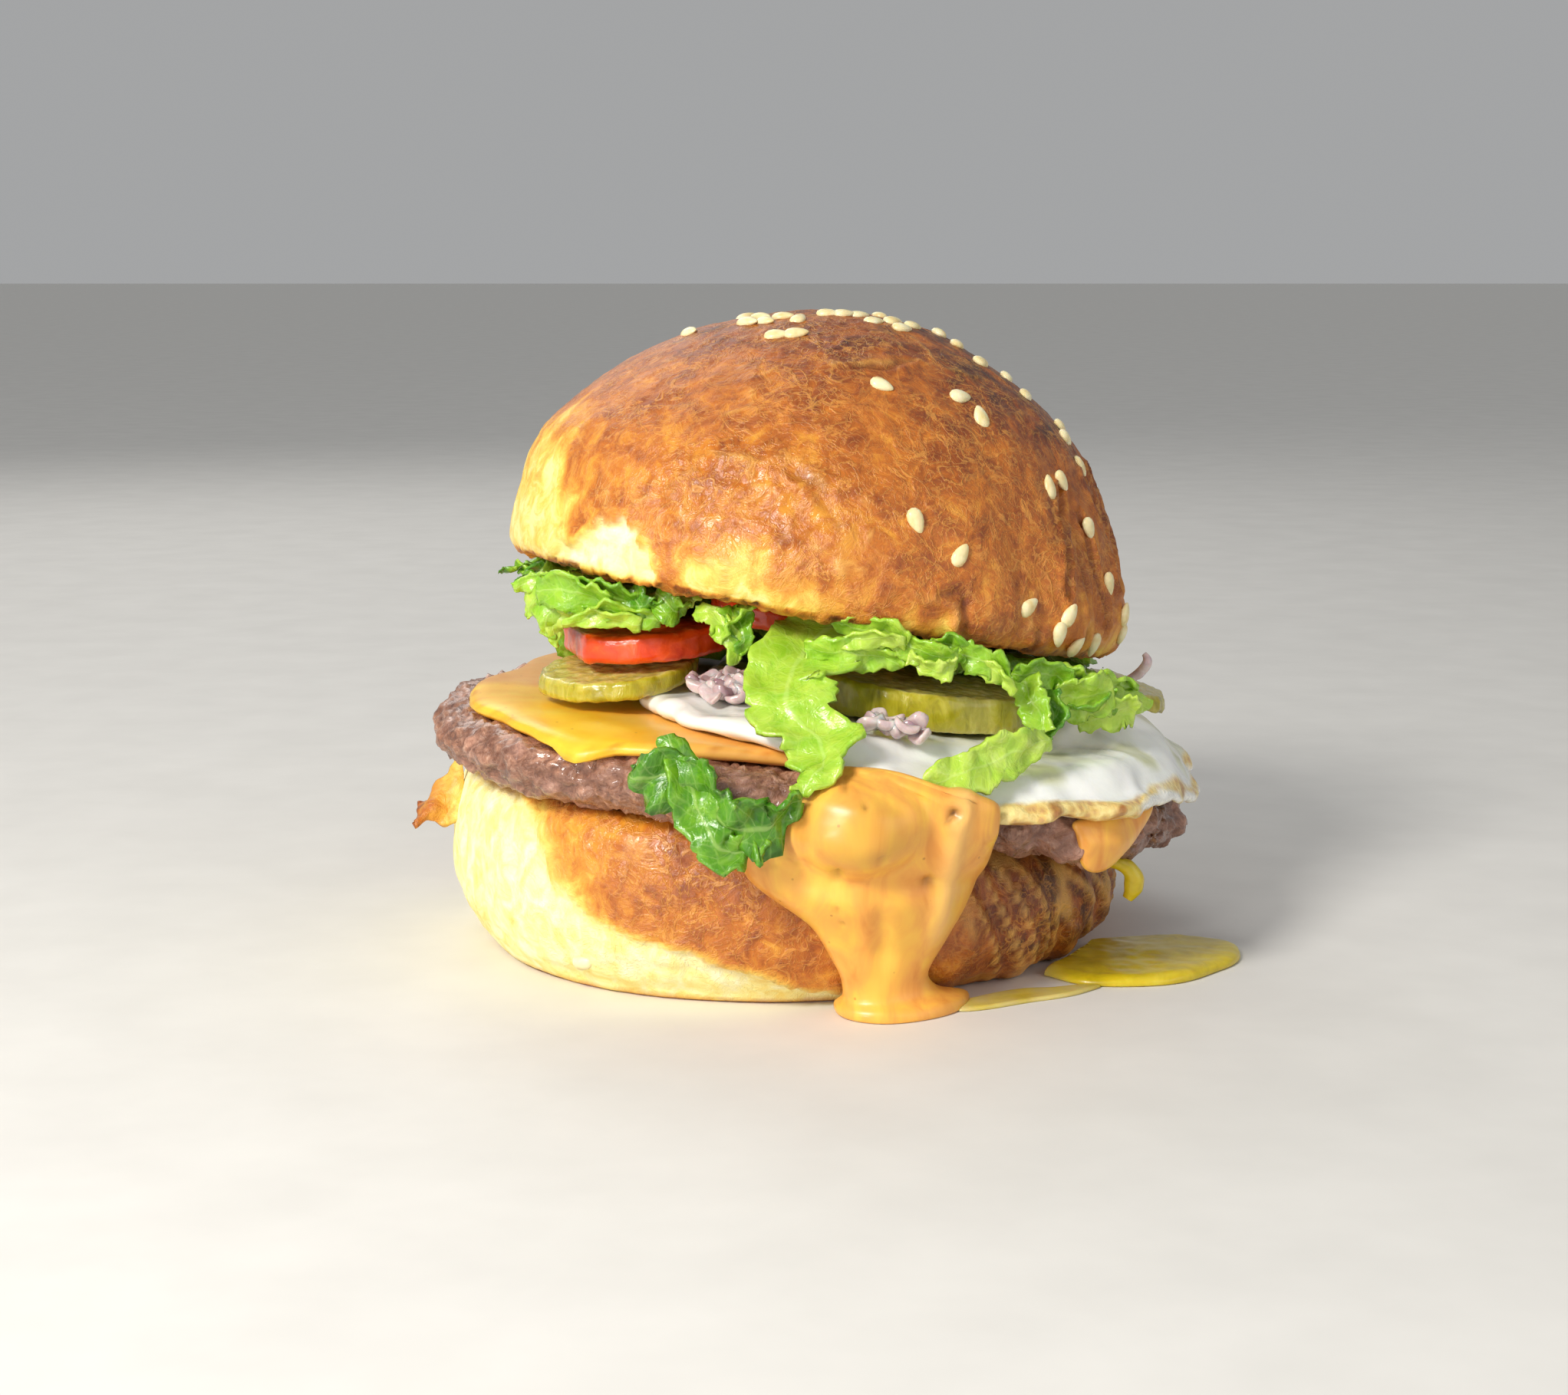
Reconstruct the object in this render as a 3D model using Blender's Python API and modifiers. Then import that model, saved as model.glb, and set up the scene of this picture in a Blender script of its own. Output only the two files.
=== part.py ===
# Cheeseburger: a heel of bun, patty, cheese, fried egg, pickles, tomato, onion, lettuce,
# sauce and a seeded crown of bun. Metres, +Z up, the open front of the stack faces -Y.
# The whole stack leans: it sinks to +X, and the crown is lifted at its front and left.
import math
import random

import bmesh
import bpy
from mathutils import Matrix, Vector, noise
from mathutils.bvhtree import BVHTree

# Clearance and the sag that all layers share
MM = 0.001
GAP = 0.3 * MM
HEEL_MID_HEIGHT = 26.4 * MM
SAG_SLOPE = 0.115
SAG_CURVE = 1.2

# Heel
HEEL_RADIUS = 54.5 * MM
HEEL_ROWS = [(0, 0), (0.5, 0), (0.85, 0), (0.92, 0.07), (0.972, 0.2), (0.996, 0.38), (1.0, 0.57),
             (0.985, 0.77), (0.95, 0.93), (0.9, 1.0), (0.62, 1.0), (0.3, 1.0), (0, 1.0)]
FLAP_CENTRE = Vector((-54.4 * MM, -6 * MM, 20.8 * MM))
FLAP_SIZE = (4.2 * MM, 6.0 * MM, 2.8 * MM)
STRAY_SEED_AIM = Vector((-0.52, -0.78, -0.09))

# Patty
PATTY_CENTRE = Vector((5.5 * MM, 0, 0))
PATTY_RADIUS = 60.5 * MM
PATTY_THICKNESS = 9.2 * MM
PATTY_LUMP = 1.3 * MM
PATTY_ROWS = [(0, 0), (0.45, 0), (0.84, 0), (0.94, 0.12), (0.985, 0.32), (1.0, 0.55),
              (0.985, 0.78), (0.94, 0.95), (0.84, 1.0), (0.6, 1.0), (0.32, 1.0), (0, 1.0)]

# Sheets that lie on the patty
SHEET_ROWS = [(0, 0), (0.33, 0), (0.64, 0), (0.86, 0), (0.965, 0.06), (1.0, 0.5), (0.965, 0.94),
              (0.86, 1.0), (0.64, 1.0), (0.33, 1.0), (0, 1.0)]
CHEESE_CENTRE = Vector((-3 * MM, -4 * MM, 0))
CHEESE_REACH = [(0, 44), (38, 53), (60, 46), (86, 44), (128, 53), (160, 45), (190, 47.5), (212, 48.5),
                (227, 50.5), (234, 53), (241, 56), (248, 52.5), (262, 49.5), (280, 50),
                (300, 50), (330, 45), (360, 44)]
CHEESE_THICKNESS = 1.9 * MM
EGG_CENTRE = Vector((22 * MM, -3 * MM, 0))
EGG_REACH = [(0, 45), (30, 43), (60, 42), (90, 42), (120, 40), (150, 34), (180, 33),
             (198, 40), (212, 50), (222, 53), (240, 54.5), (256, 56), (270, 56.5),
             (285, 55), (300, 52.5), (330, 47), (360, 45)]
EGG_THICKNESS = 3.0 * MM
EGG_STAND = 3.0 * MM
EGG_DROOP = 0.1
CHEESE_DROOP = 0.35
EGG_DOME_CENTRE = Vector((47 * MM, -10 * MM, 0))
EGG_DOME_RADIUS = 17 * MM
EGG_DOME_HEIGHT = 5.0 * MM

# Slices: centre, radii, thickness, fall to the right and to the back, cut (angle, share of radius)
SLICES = {
    "pickle_left": ((-24.5, -21, 43.8), (12.2, 13.0), 3.0, (0.1, 0.08), None),
    "pickle_right": ((21, -28, 42.6), (16.8, 14.5), 5.4, (-0.15, 0.0), None),
    "pickle_end": ((56.5, 1, 35.6), (6.4, 9.5), 2.6, (-0.3, 0.0), None),
    "tomato_left": ((-20.5, -14, 49.2), (13.6, 18.5), 4.3, (0.06, 0.0), (200, 0.88)),
    "tomato_right": ((-0.5, -21, 51.8), (9.6, 11.0), 3.4, (-0.26, -0.08), (-20, 0.8)),
}
SLICE_ROWS = [(0, 0), (0.6, 0), (0.95, 0), (1.0, 0.25), (1.0, 0.75), (0.95, 1.0), (0.6, 1.0), (0, 1.0)]

# Crown: rows of height above its cut face with the reach to the left and to the right
CROWN_CENTRE = Vector((6.0 * MM, 2.0 * MM, 53.4 * MM))
CROWN_LEAN = math.radians(10.3)
CROWN_LIFT = math.radians(-4.2)
CROWN_ROWS = [(0, 0, 0), (0, 20, 19), (0, 40, 37), (0, 48.4, 46.6), (1.6, 50.4, 48.8), (6, 51.0, 49.6),
              (12.5, 50.3, 47.6), (19.5, 48.2, 44.4), (25.5, 43.7, 40.8), (31, 38.2, 36.9),
              (36, 31.8, 31.4), (40.2, 24.8, 25.2), (43.4, 17.0, 18.6), (45.8, 8.4, 11.2), (46.9, 0, 0)]
CROWN_FOLD = 0.9 * MM

# Sesame: aims from the crown's heart as azimuth, elevation and turn in degrees
SEED_COUNT = 56
SEED_HEART = Vector((0, 0, 12 * MM))
SEED_SHELL = 48 * MM
SEED_AIMS = [
    (-139.3, 61, 20), (-127, 60.3, 90), (-120.6, 69.5, 0), (-123.6, 48.7, 12), (-117.2, 50.9, 14),
    (-85.9, 69.1, 0), (-61.8, 84, 30), (-68.6, 72.3, 0), (-67.8, 66.5, -12), (-50, 71.6, -20),
    (-17.3, 70.2, 10), (-26, 63.2, 0), (-30.5, 54.2, -10), (-16.5, 49.8, 5), (-20.6, 42.8, 0),
    (-84.3, 35.1, -30), (-60.6, 37, -4), (-56.9, 31.4, 80), (-13.6, 33.3, -30), (-18.9, 30.1, -30),
    (-19.8, 23.2, -60), (-35.4, 18.9, -60), (-41.3, 16.9, 85), (-76.4, 5.2, -72), (-67.6, 0.7, 55),
    (-28.6, 9.7, -70), (-24.8, -0.5, -75), (-51.6, -6.2, 32), (-42.3, -6.4, 55), (-43.6, -9.9, -85),
    (-37.5, -11.6, 48), (-30.5, -11.2, -85), (-20, -5.2, 70), (-18, -8.9, -60), (-163.5, 43, 15),
    (-145.8, 52.9, 5), (-150.2, 58, 10), (-139.5, 55.6, 0), (-110.6, 71.8, 5), (-99.3, 75, 0),
]
SEED_SPREAD = 5.5 * MM
SEED_HALF_LENGTH = 1.95 * MM
SEED_HALF_WIDTH = 1.2 * MM
SEED_HALF_HEIGHT = 0.75 * MM
SEED_SINK = 0.2 * MM

# Onion bits
ONION_BIT = 2.6 * MM
ONION_HEAPS = {
    "onion_left": ((-5.6, -34, 0), (8.2, 5.4), 5.4, 12),
    "onion_front": ((16.8, -50.0, 0), (4.2, 3.0), 3.2, 6),
}

# Lettuce
LEAF = 0.9 * MM
BED_CENTRE = Vector((3 * MM, 4 * MM, 0))
BED_RADIUS = 42 * MM
BED_NOTCH = 25 * MM
BED_ROWS = [(0, 0), (0.4, 0), (0.7, 0), (0.92, 0.08), (1.0, 0.5), (0.92, 0.92), (0.7, 1.0), (0.4, 1.0),
            (0, 1.0)]

# Loose leaves: spine points, widths along them and the direction across, in millimetres
LEAVES = {
    "lettuce_centre": [
        ([(9, -36, 54.5), (4, -43, 52), (1.5, -49, 48.5), (1.8, -53, 44.5), (6, -57.5, 41),
          (6, -62, 37.5), (3, -64.5, 35)], (13, 15, 13, 12, 11, 6, 2), (1, -0.1, 0.1), 0.9, 0.3),
        ([(4, -44.5, 51.5), (9, -46.5, 50.2), (14, -46, 48.8), (19, -45, 47.6)],
         (4, 7, 6, 1.6), (0, -0.35, 1), 0.5, 0.2)],
    "lettuce_front": [
        ([(-20.5, -62, 37), (-16, -63.5, 37.2), (-11, -65, 34.5), (-6, -66, 31), (-1, -66, 30.6),
          (3.2, -65, 34.4)], (4, 9, 10, 8, 8, 3), (0, -0.25, 1), 1.1, 0.5),
        ([(-15.5, -61, 42.5), (-13, -63.5, 38), (-10.5, -65.5, 32), (-8, -66.5, 27.6), (-4, -66, 26.8),
          (-2, -65.2, 29.5)], (2, 6, 7.5, 6, 5, 3), (1, 0.1, 0.3), 0.6, 0.4)],
    "lettuce_right": [
        ([(19.5, -60.2, 34.2), (24, -58.6, 36.0), (29.5, -56.0, 37.4), (34.5, -52.5, 38.8),
          (39, -48, 39.6)], (2.5, 6.5, 8, 7, 3), (0.1, 0.45, 1), 0.7, 0.3)],
    "lettuce_end": [
        ([(42, -33, 46), (46.5, -30.5, 45.2), (51, -27.5, 43.6), (54.5, -24.5, 43.2)],
         (4.4, 5.6, 5, 2.6), (0.2, -0.7, 0.8), 0.7, 0.6),
        ([(44, -31, 43.4), (49, -29, 42.2), (53.5, -25.5, 41.4), (57, -21.5, 39.8)],
         (3.4, 4.6, 4.6, 1.8), (0.1, -0.2, 1), 0.6, -0.5)],
}

# Sauce: rows of height with the left edge, the right edge and the thickness, all in millimetres
SAUCE_ROWS = [(0, 18, 18, 4), (0, 8.0, 28.8, 9.0), (1.2, 8.2, 28.2, 8.2), (2.6, 9.8, 23.4, 5.6),
              (5.5, 9.4, 21.4, 4.4), (9.5, 7.6, 23.4, 4.2), (14, 5.0, 26.2, 4.6), (18, -0.5, 28.2, 5.2),
              (21.5, -4.6, 29.6, 3.4), (25, -5.2, 30.6, 3.0), (28.5, -2.5, 31.2, 2.8),
              (32, 1.8, 31.4, 2.6), (35, 4.0, 22.5, 2.2), (37, 7.0, 16.5, 1.6), (37.6, 11, 11, 0.8)]
SAUCE_BUMP_CENTRE = (11.4 * MM, 29.8 * MM)
SAUCE_BUMP_RADIUS = (9.6 * MM, 6.8 * MM)
SAUCE_BUMP_HEIGHT = 4.2 * MM
SAUCE_SLOPE = 0.4
SAUCE_CURTAIN = 16
SIDE_SAUCE_ROWS = [(19.4, 47.0, 47.0, 1), (20.0, 45.4, 49.0, 1.8), (21.4, 44.4, 51.0, 2.4),
                   (23.2, 44.0, 53.4, 2.5), (25.2, 43.8, 55.5, 2.3), (27.0, 43.0, 57.0, 1.8),
                   (27.8, 49, 49, 0.8)]
POOL_CENTRE = Vector((55.5 * MM, -25.5 * MM, 0))
POOL_RADIUS = (18.0 * MM, 12.5 * MM)
POOL_TURN = math.radians(24)
POOL_THICKNESS = 1.6 * MM
POOL_BESIDE = 52.5 * MM
DRIP_POINTS = [(44.6, -27.4, 17.4), (47.4, -29.6, 17.9), (51.0, -30.6, 17.6), (54.6, -30.4, 16.2),
               (54.8, -30, 13.4), (53.6, -30, 11.4)]
DRIP_RADII = [0.9, 0.9, 0.9, 1.3, 1.8, 0.8]
CURL_POINTS = [(55.0, -9.5, 41.8), (56.4, -10, 42.6), (58.0, -10.5, 43.6), (58.8, -10.5, 45.4),
               (58.0, -10, 46.4)]
CURL_RADII = [0.7, 0.8, 0.9, 0.8, 0.5]

# Colours of the parts: colour, roughness
LOOKS = {
    "bun": ((0.56, 0.23, 0.05), 0.42),
    "patty": ((0.22, 0.10, 0.075), 0.5),
    "cheese": ((0.95, 0.50, 0.04), 0.35),
    "egg": ((0.86, 0.85, 0.76), 0.3),
    "pickle": ((0.30, 0.26, 0.03), 0.3),
    "tomato": ((0.62, 0.05, 0.012), 0.25),
    "onion": ((0.55, 0.38, 0.42), 0.35),
    "lettuce": ((0.25, 0.50, 0.04), 0.4),
    "sauce": ((0.86, 0.37, 0.08), 0.28),
    "yolk": ((0.75, 0.48, 0.03), 0.25),
}


def clear_scene():
    for obj in list(bpy.data.objects):
        bpy.data.objects.remove(obj, do_unlink=True)


def material(name):
    found = bpy.data.materials.get(name)
    if found:
        return found
    made = bpy.data.materials.new(name)
    made.use_nodes = True
    shader = made.node_tree.nodes["Principled BSDF"]
    colour, roughness = LOOKS[name]
    shader.inputs["Base Color"].default_value = (*colour, 1.0)
    shader.inputs["Roughness"].default_value = roughness
    made.diffuse_color = (*colour, 1.0)
    return made


def add_object(mesh, name, look, group):
    data = bpy.data.meshes.new(name)
    mesh.normal_update()
    mesh.to_mesh(data)
    mesh.free()
    obj = bpy.data.objects.new(name, data)
    group.objects.link(obj)
    data.materials.append(material(look))
    return obj


def relief(point, size, seed):
    """A smooth value from -1 to 1 that changes over the given length."""
    return noise.noise(point / size + Vector((seed, 3.1 * seed, 7.7 * seed)))


def sag(x):
    """Height of the heel's top under the stack: it sinks to the right."""
    return HEEL_MID_HEIGHT - SAG_SLOPE * x - SAG_CURVE * x * x


def shaped_sphere(name, look, group, rows, around, place):
    """A UV sphere whose rings become the rows of a round body; place puts each vertex."""
    mesh = bmesh.new()
    last = len(rows) - 1
    bmesh.ops.create_uvsphere(mesh, u_segments=around, v_segments=last, radius=1.0)
    for vert in mesh.verts:
        row = round((math.asin(max(-1.0, min(1.0, vert.co.z))) / math.pi + 0.5) * last)
        angle = math.atan2(vert.co.y, vert.co.x)
        vert.co = place(rows[row], angle)
    return add_object(mesh, name, look, group)


def surface_of(objects):
    """Ray targets for the evaluated shapes of the objects."""
    depsgraph = bpy.context.evaluated_depsgraph_get()
    return [BVHTree.FromObject(obj, depsgraph) for obj in objects]


def nearby(reach):
    return [(0, 0), (reach, 0), (-reach, 0), (0, reach), (0, -reach), (reach * 0.7, reach * 0.7),
            (-reach * 0.7, reach * 0.7), (reach * 0.7, -reach * 0.7), (-reach * 0.7, -reach * 0.7)]


def top_over(trees, x, y, reach):
    """Highest point of the shapes near a spot, or None beyond them."""
    best = None
    for dx, dy in nearby(reach):
        for tree in trees:
            hit = tree.ray_cast(Vector((x + dx, y + dy, 0.5)), Vector((0, 0, -1)))[0]
            if hit is not None and (best is None or hit.z > best):
                best = hit.z
    return best


def front_of(trees, x, z, reach):
    """Foremost point of the shapes near a spot, looking along +Y, or None beyond them."""
    best = None
    for dx, dz in nearby(reach):
        for tree in trees:
            hit = tree.ray_cast(Vector((x + dx, -0.5, z + dz)), Vector((0, 1, 0)))[0]
            if hit is not None and (best is None or hit.y < best):
                best = hit.y
    return best


# Bun
def heel_outline(angle):
    return HEEL_RADIUS * (1 + 0.012 * math.sin(3 * angle + 0.6) + 0.008 * math.sin(5 * angle))


def make_flap(group):
    """A torn tongue of crust that stands off the heel's left side."""
    mesh = bmesh.new()
    bmesh.ops.create_icosphere(mesh, subdivisions=1, radius=1.0)
    for vert in mesh.verts:
        vert.co = FLAP_CENTRE + Vector(size * part for size, part in zip(FLAP_SIZE, vert.co))
    return add_object(mesh, "flap", "bun", group)


def add_heel_trims(heel):
    """The torn flap and one stray seed low on the front left."""
    trims = loose_group("heel_trims")
    make_flap(trims)
    aim = STRAY_SEED_AIM.normalized()
    hit, normal, _, _ = surface_of([heel])[0].ray_cast(Vector((0, 0, 0.01)), aim)
    make_seed((hit, normal, 0.2), trims)
    fuse(heel, trims, "EXACT")


def make_heel(group):
    def place(row, angle):
        share, lift = row
        radius = heel_outline(angle) * share
        x = radius * math.cos(angle)
        y = radius * math.sin(angle)
        if lift > 0 and share > 0.9:
            pleat = 0.9 * MM * math.sin(22 * angle) * max(0, math.cos(angle + 0.55)) ** 4
            swell = 0.9 * MM * relief(Vector((x, y, lift * 30 * MM)), 16 * MM, 1)
            grow = 1 + (pleat + swell) / radius
            x *= grow
            y *= grow
        return Vector((x, y, lift * sag(x)))
    return shaped_sphere("bun_bottom", "bun", group, HEEL_ROWS, 48, place)


def crown_matrix():
    lean = Matrix.Rotation(CROWN_LIFT, 4, "X") @ Matrix.Rotation(CROWN_LEAN, 4, "Y")
    return Matrix.Translation(CROWN_CENTRE) @ lean


def crown_point(height, left, right, angle):
    """A point of the crown in its own frame, with its folds on the right side."""
    mix = 0.5 + 0.5 * math.cos(angle)
    radius = (left * (1 - mix) + right * mix) * MM
    x = radius * math.cos(angle)
    y = radius * math.sin(angle)
    z = height * MM
    if height > 0:
        side = max(0, math.cos(angle + 0.35)) ** 3 * max(0, 1 - abs(height - 14) / 24)
        fold = CROWN_FOLD * side * math.sin(17 * angle + height * 0.12)
        calm = min(1, height / 6) * min(1, radius / 0.012)
        swell = 1.1 * MM * relief(Vector((x, y, z)), 24 * MM, 5) * calm
        grow = 1 + (fold + swell) / max(radius, 0.004)
        x *= grow
        y *= grow
    else:
        z += 0.5 * MM * relief(Vector((x, y, 0)), 11 * MM, 9) * (1 if radius > 0.04 else 0.4)
    return Vector((x, y, z))


def crown_bottom(x, y):
    """Height of the crown's cut face over a spot."""
    normal = crown_matrix().to_3x3() @ Vector((0, 0, 1))
    rise = normal.x * (x - CROWN_CENTRE.x) + normal.y * (y - CROWN_CENTRE.y)
    return CROWN_CENTRE.z - rise / normal.z


def make_crown(group):
    stand = crown_matrix()

    def place(row, angle):
        return stand @ crown_point(row[0], row[1], row[2], angle)
    return shaped_sphere("bun_top", "bun", group, CROWN_ROWS, 44, place)


def shell_point(azimuth, elevation):
    """Point in a direction given in degrees, as far from the crown's heart as its skin is."""
    a = math.radians(azimuth)
    e = math.radians(elevation)
    return Vector((math.cos(a) * math.cos(e), math.sin(a) * math.cos(e), math.sin(e))) * SEED_SHELL


def seed_aims():
    """The named seeds, then more over the top and down the back, by a seeded rule."""
    dice = random.Random(41)
    aims = list(SEED_AIMS)
    heads = [shell_point(azimuth, elevation) for azimuth, elevation, _ in aims]
    while len(aims) < SEED_COUNT:
        azimuth = dice.uniform(-12, 190)
        elevation = 84 - 80 * dice.random() ** 0.8
        head = shell_point(azimuth, elevation)
        wanted = dice.random() < 0.25 + 0.75 * elevation / 84
        if wanted and all((head - other).length > SEED_SPREAD for other in heads):
            heads.append(head)
            aims.append((azimuth, elevation, dice.uniform(0, 180)))
    return aims


def seed_spots(crown):
    """Positions, upright directions and turns of the seeds on the crown."""
    tree = surface_of([crown])[0]
    stand = crown_matrix()
    spots = []
    for azimuth, elevation, turn in seed_aims():
        aim = (stand.to_3x3() @ shell_point(azimuth, elevation)).normalized()
        hit, normal, _, _ = tree.ray_cast(stand @ SEED_HEART, aim)
        spots.append((hit, (0.3 * normal + 0.7 * aim).normalized(), math.radians(turn)))
    return spots


def make_seed(spot, group):
    """One sesame seed, pointed at one end, sunk a little into the crust."""
    hit, normal, turn = spot
    mesh = bmesh.new()
    bmesh.ops.create_icosphere(mesh, subdivisions=1, radius=1.0)
    stand = normal.to_track_quat("Z", "Y").to_matrix() @ Matrix.Rotation(turn, 3, "Z")
    for vert in mesh.verts:
        taper = 1 - 0.28 * vert.co.x
        flat = Vector((vert.co.x * SEED_HALF_LENGTH, vert.co.y * SEED_HALF_WIDTH * taper,
                       vert.co.z * SEED_HALF_HEIGHT))
        vert.co = hit + normal * (SEED_HALF_HEIGHT - SEED_SINK - 0.35 * MM) + stand @ flat
    return add_object(mesh, "seed", "bun", group)


def fuse(body, group, solver):
    """Joins every piece of a collection to the body, then removes the pieces."""
    join = body.modifiers.new("join", "BOOLEAN")
    join.operation = "UNION"
    join.operand_type = "COLLECTION"
    join.collection = group
    join.solver = solver
    depsgraph = bpy.context.evaluated_depsgraph_get()
    joined = bpy.data.meshes.new_from_object(body.evaluated_get(depsgraph))
    body.modifiers.clear()
    body.data = joined
    for obj in list(group.objects):
        bpy.data.objects.remove(obj, do_unlink=True)
    bpy.data.collections.remove(group)


def loose_group(name):
    group = bpy.data.collections.new(name)
    bpy.context.scene.collection.children.link(group)
    return group


def keep_largest(body):
    """Drops scraps that a cut has left loose."""
    mesh = bmesh.new()
    mesh.from_mesh(body.data)
    left = set(mesh.faces)
    pieces = []
    while left:
        piece = set()
        front = [left.pop()]
        while front:
            face = front.pop()
            piece.add(face)
            for edge in face.edges:
                for other in edge.link_faces:
                    if other in left:
                        left.discard(other)
                        front.append(other)
        pieces.append(piece)
    pieces.sort(key=len, reverse=True)
    for piece in pieces[1:]:
        bmesh.ops.delete(mesh, geom=list(piece), context="FACES")
    mesh.to_mesh(body.data)
    mesh.free()


def cut_clear(body, others, gap, solver="EXACT"):
    """Cuts the body back from its neighbours, each swollen by the gap."""
    for other in others:
        cutter = bpy.data.objects.new("cutter", other.data.copy())
        bpy.context.scene.collection.objects.link(cutter)
        swell = cutter.modifiers.new("swell", "DISPLACE")
        swell.strength = gap
        swell.mid_level = 0.0
        cut = body.modifiers.new("cut", "BOOLEAN")
        cut.operation = "DIFFERENCE"
        cut.object = cutter
        cut.solver = solver
        depsgraph = bpy.context.evaluated_depsgraph_get()
        trimmed = bpy.data.meshes.new_from_object(body.evaluated_get(depsgraph))
        body.modifiers.clear()
        body.data = trimmed
        bpy.data.objects.remove(cutter, do_unlink=True)
    keep_largest(body)


# Patty
def patty_outline(angle):
    return PATTY_RADIUS * (1 + 0.015 * math.sin(2 * angle + 0.4) + 0.012 * math.sin(7 * angle)
                           + 0.008 * math.sin(13 * angle + 1))


def make_patty(group):
    def place(row, angle):
        share, lift = row
        radius = patty_outline(angle) * share
        x = PATTY_CENTRE.x + radius * math.cos(angle)
        y = PATTY_CENTRE.y + radius * math.sin(angle)
        z = sag(x) + GAP + lift * PATTY_THICKNESS
        if 0.9 < share and 0 < lift < 1:
            lump = PATTY_LUMP * relief(Vector((x, y, z)), 6 * MM, 11)
            x += lump * math.cos(angle)
            y += lump * math.sin(angle)
        return Vector((x, y, z))
    return shaped_sphere("patty", "patty", group, PATTY_ROWS, 56, place)


# Sheets laid over what is below them
def draped(name, look, group, around, centre, outline, thickness, below, droop, lifted=None):
    """A soft sheet with a round rim that follows the top of the shapes below it."""
    trees = surface_of(below)
    reach = 2.5 * MM

    def place(row, angle):
        share, lift = row
        radius = outline(angle) * share
        x = centre.x + radius * math.cos(angle)
        y = centre.y + radius * math.sin(angle)
        floor = top_over(trees, x, y, reach)
        step = 0
        while floor is None:
            step += 1
            inner = radius - step * MM
            inner_x = centre.x + inner * math.cos(angle)
            floor = top_over(trees, inner_x, centre.y + inner * math.sin(angle), reach)
        floor += lifted(x, y) if lifted else 0
        return Vector((x, y, floor + GAP - step * MM * droop + lift * thickness(x, y, share)))
    return shaped_sphere(name, look, group, SHEET_ROWS, around, place)


def reach_at(table, angle):
    """Reach in a direction, eased between the directions of a table in degrees and millimetres."""
    turned = math.degrees(angle) % 360
    for (start, near), (stop, far) in zip(table, table[1:]):
        if start <= turned <= stop:
            part = (turned - start) / (stop - start)
            return (near + (far - near) * part * part * (3 - 2 * part)) * MM


def cheese_outline(angle):
    """A square slice with soft corners and a melted drip at its front edge."""
    return reach_at(CHEESE_REACH, angle) * (1 + 0.008 * math.sin(13 * angle))


def make_cheese(group, below):
    def thickness(x, y, share):
        return CHEESE_THICKNESS
    return draped("cheese", "cheese", group, 40, CHEESE_CENTRE, cheese_outline, thickness, below,
                  CHEESE_DROOP)


def egg_outline(angle):
    """The set white's reach by direction, with a frilled edge."""
    frill = 0.01 * math.sin(11 * angle) + 0.008 * math.sin(19 * angle + 1)
    return reach_at(EGG_REACH, angle) * (1 + frill)


def make_egg(group, below):
    def stiff(x, y):
        """The set right side stands off the sinking patty."""
        return EGG_STAND * min(1, max(0, (x - 30 * MM) / (22 * MM)))

    def thickness(x, y, share):
        away = (Vector((x, y, 0)) - EGG_DOME_CENTRE).length / EGG_DOME_RADIUS
        dome = EGG_DOME_HEIGHT * max(0, 1 - away * away)
        wave = 0.5 * MM * relief(Vector((x, y, 0)), 9 * MM, 21)
        return EGG_THICKNESS + dome + wave + 0.3 * stiff(x, y)
    return draped("fried_egg", "egg", group, 50, EGG_CENTRE, egg_outline, thickness, below,
                  EGG_DROOP, stiff)


# Slices of pickle and tomato
def make_slice(name, look, group):
    centre, radii, thickness, fall, cut = SLICES[name]
    seed = len(name) + centre[0]

    def place(row, angle):
        share, lift = row
        size = 1 + 0.02 * math.sin(3 * angle + seed) + 0.012 * math.sin(8 * angle)
        if cut:
            facing = math.cos(angle - math.radians(cut[0]))
            if facing > 0:
                size = min(size, cut[1] / facing)
        x = radii[0] * size * share * math.cos(angle)
        y = radii[1] * size * share * math.sin(angle)
        z = centre[2] + fall[0] * x + fall[1] * y + (lift - 0.5) * thickness
        return Vector(((centre[0] + x) * MM, (centre[1] + y) * MM, z * MM))
    return shaped_sphere(name, look, group, SLICE_ROWS, 20, place)


def rest_on(body, below):
    """Raises or lowers a stiff piece until it just lies on the shapes below it."""
    trees = surface_of(below)
    gaps = []
    for vert in body.data.vertices:
        floor = top_over(trees, vert.co.x, vert.co.y, 1.5 * MM)
        if floor is not None and vert.normal.z < 0.5:
            gaps.append(floor - vert.co.z)
    shift = max(gaps) + GAP
    for vert in body.data.vertices:
        vert.co.z += shift


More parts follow.
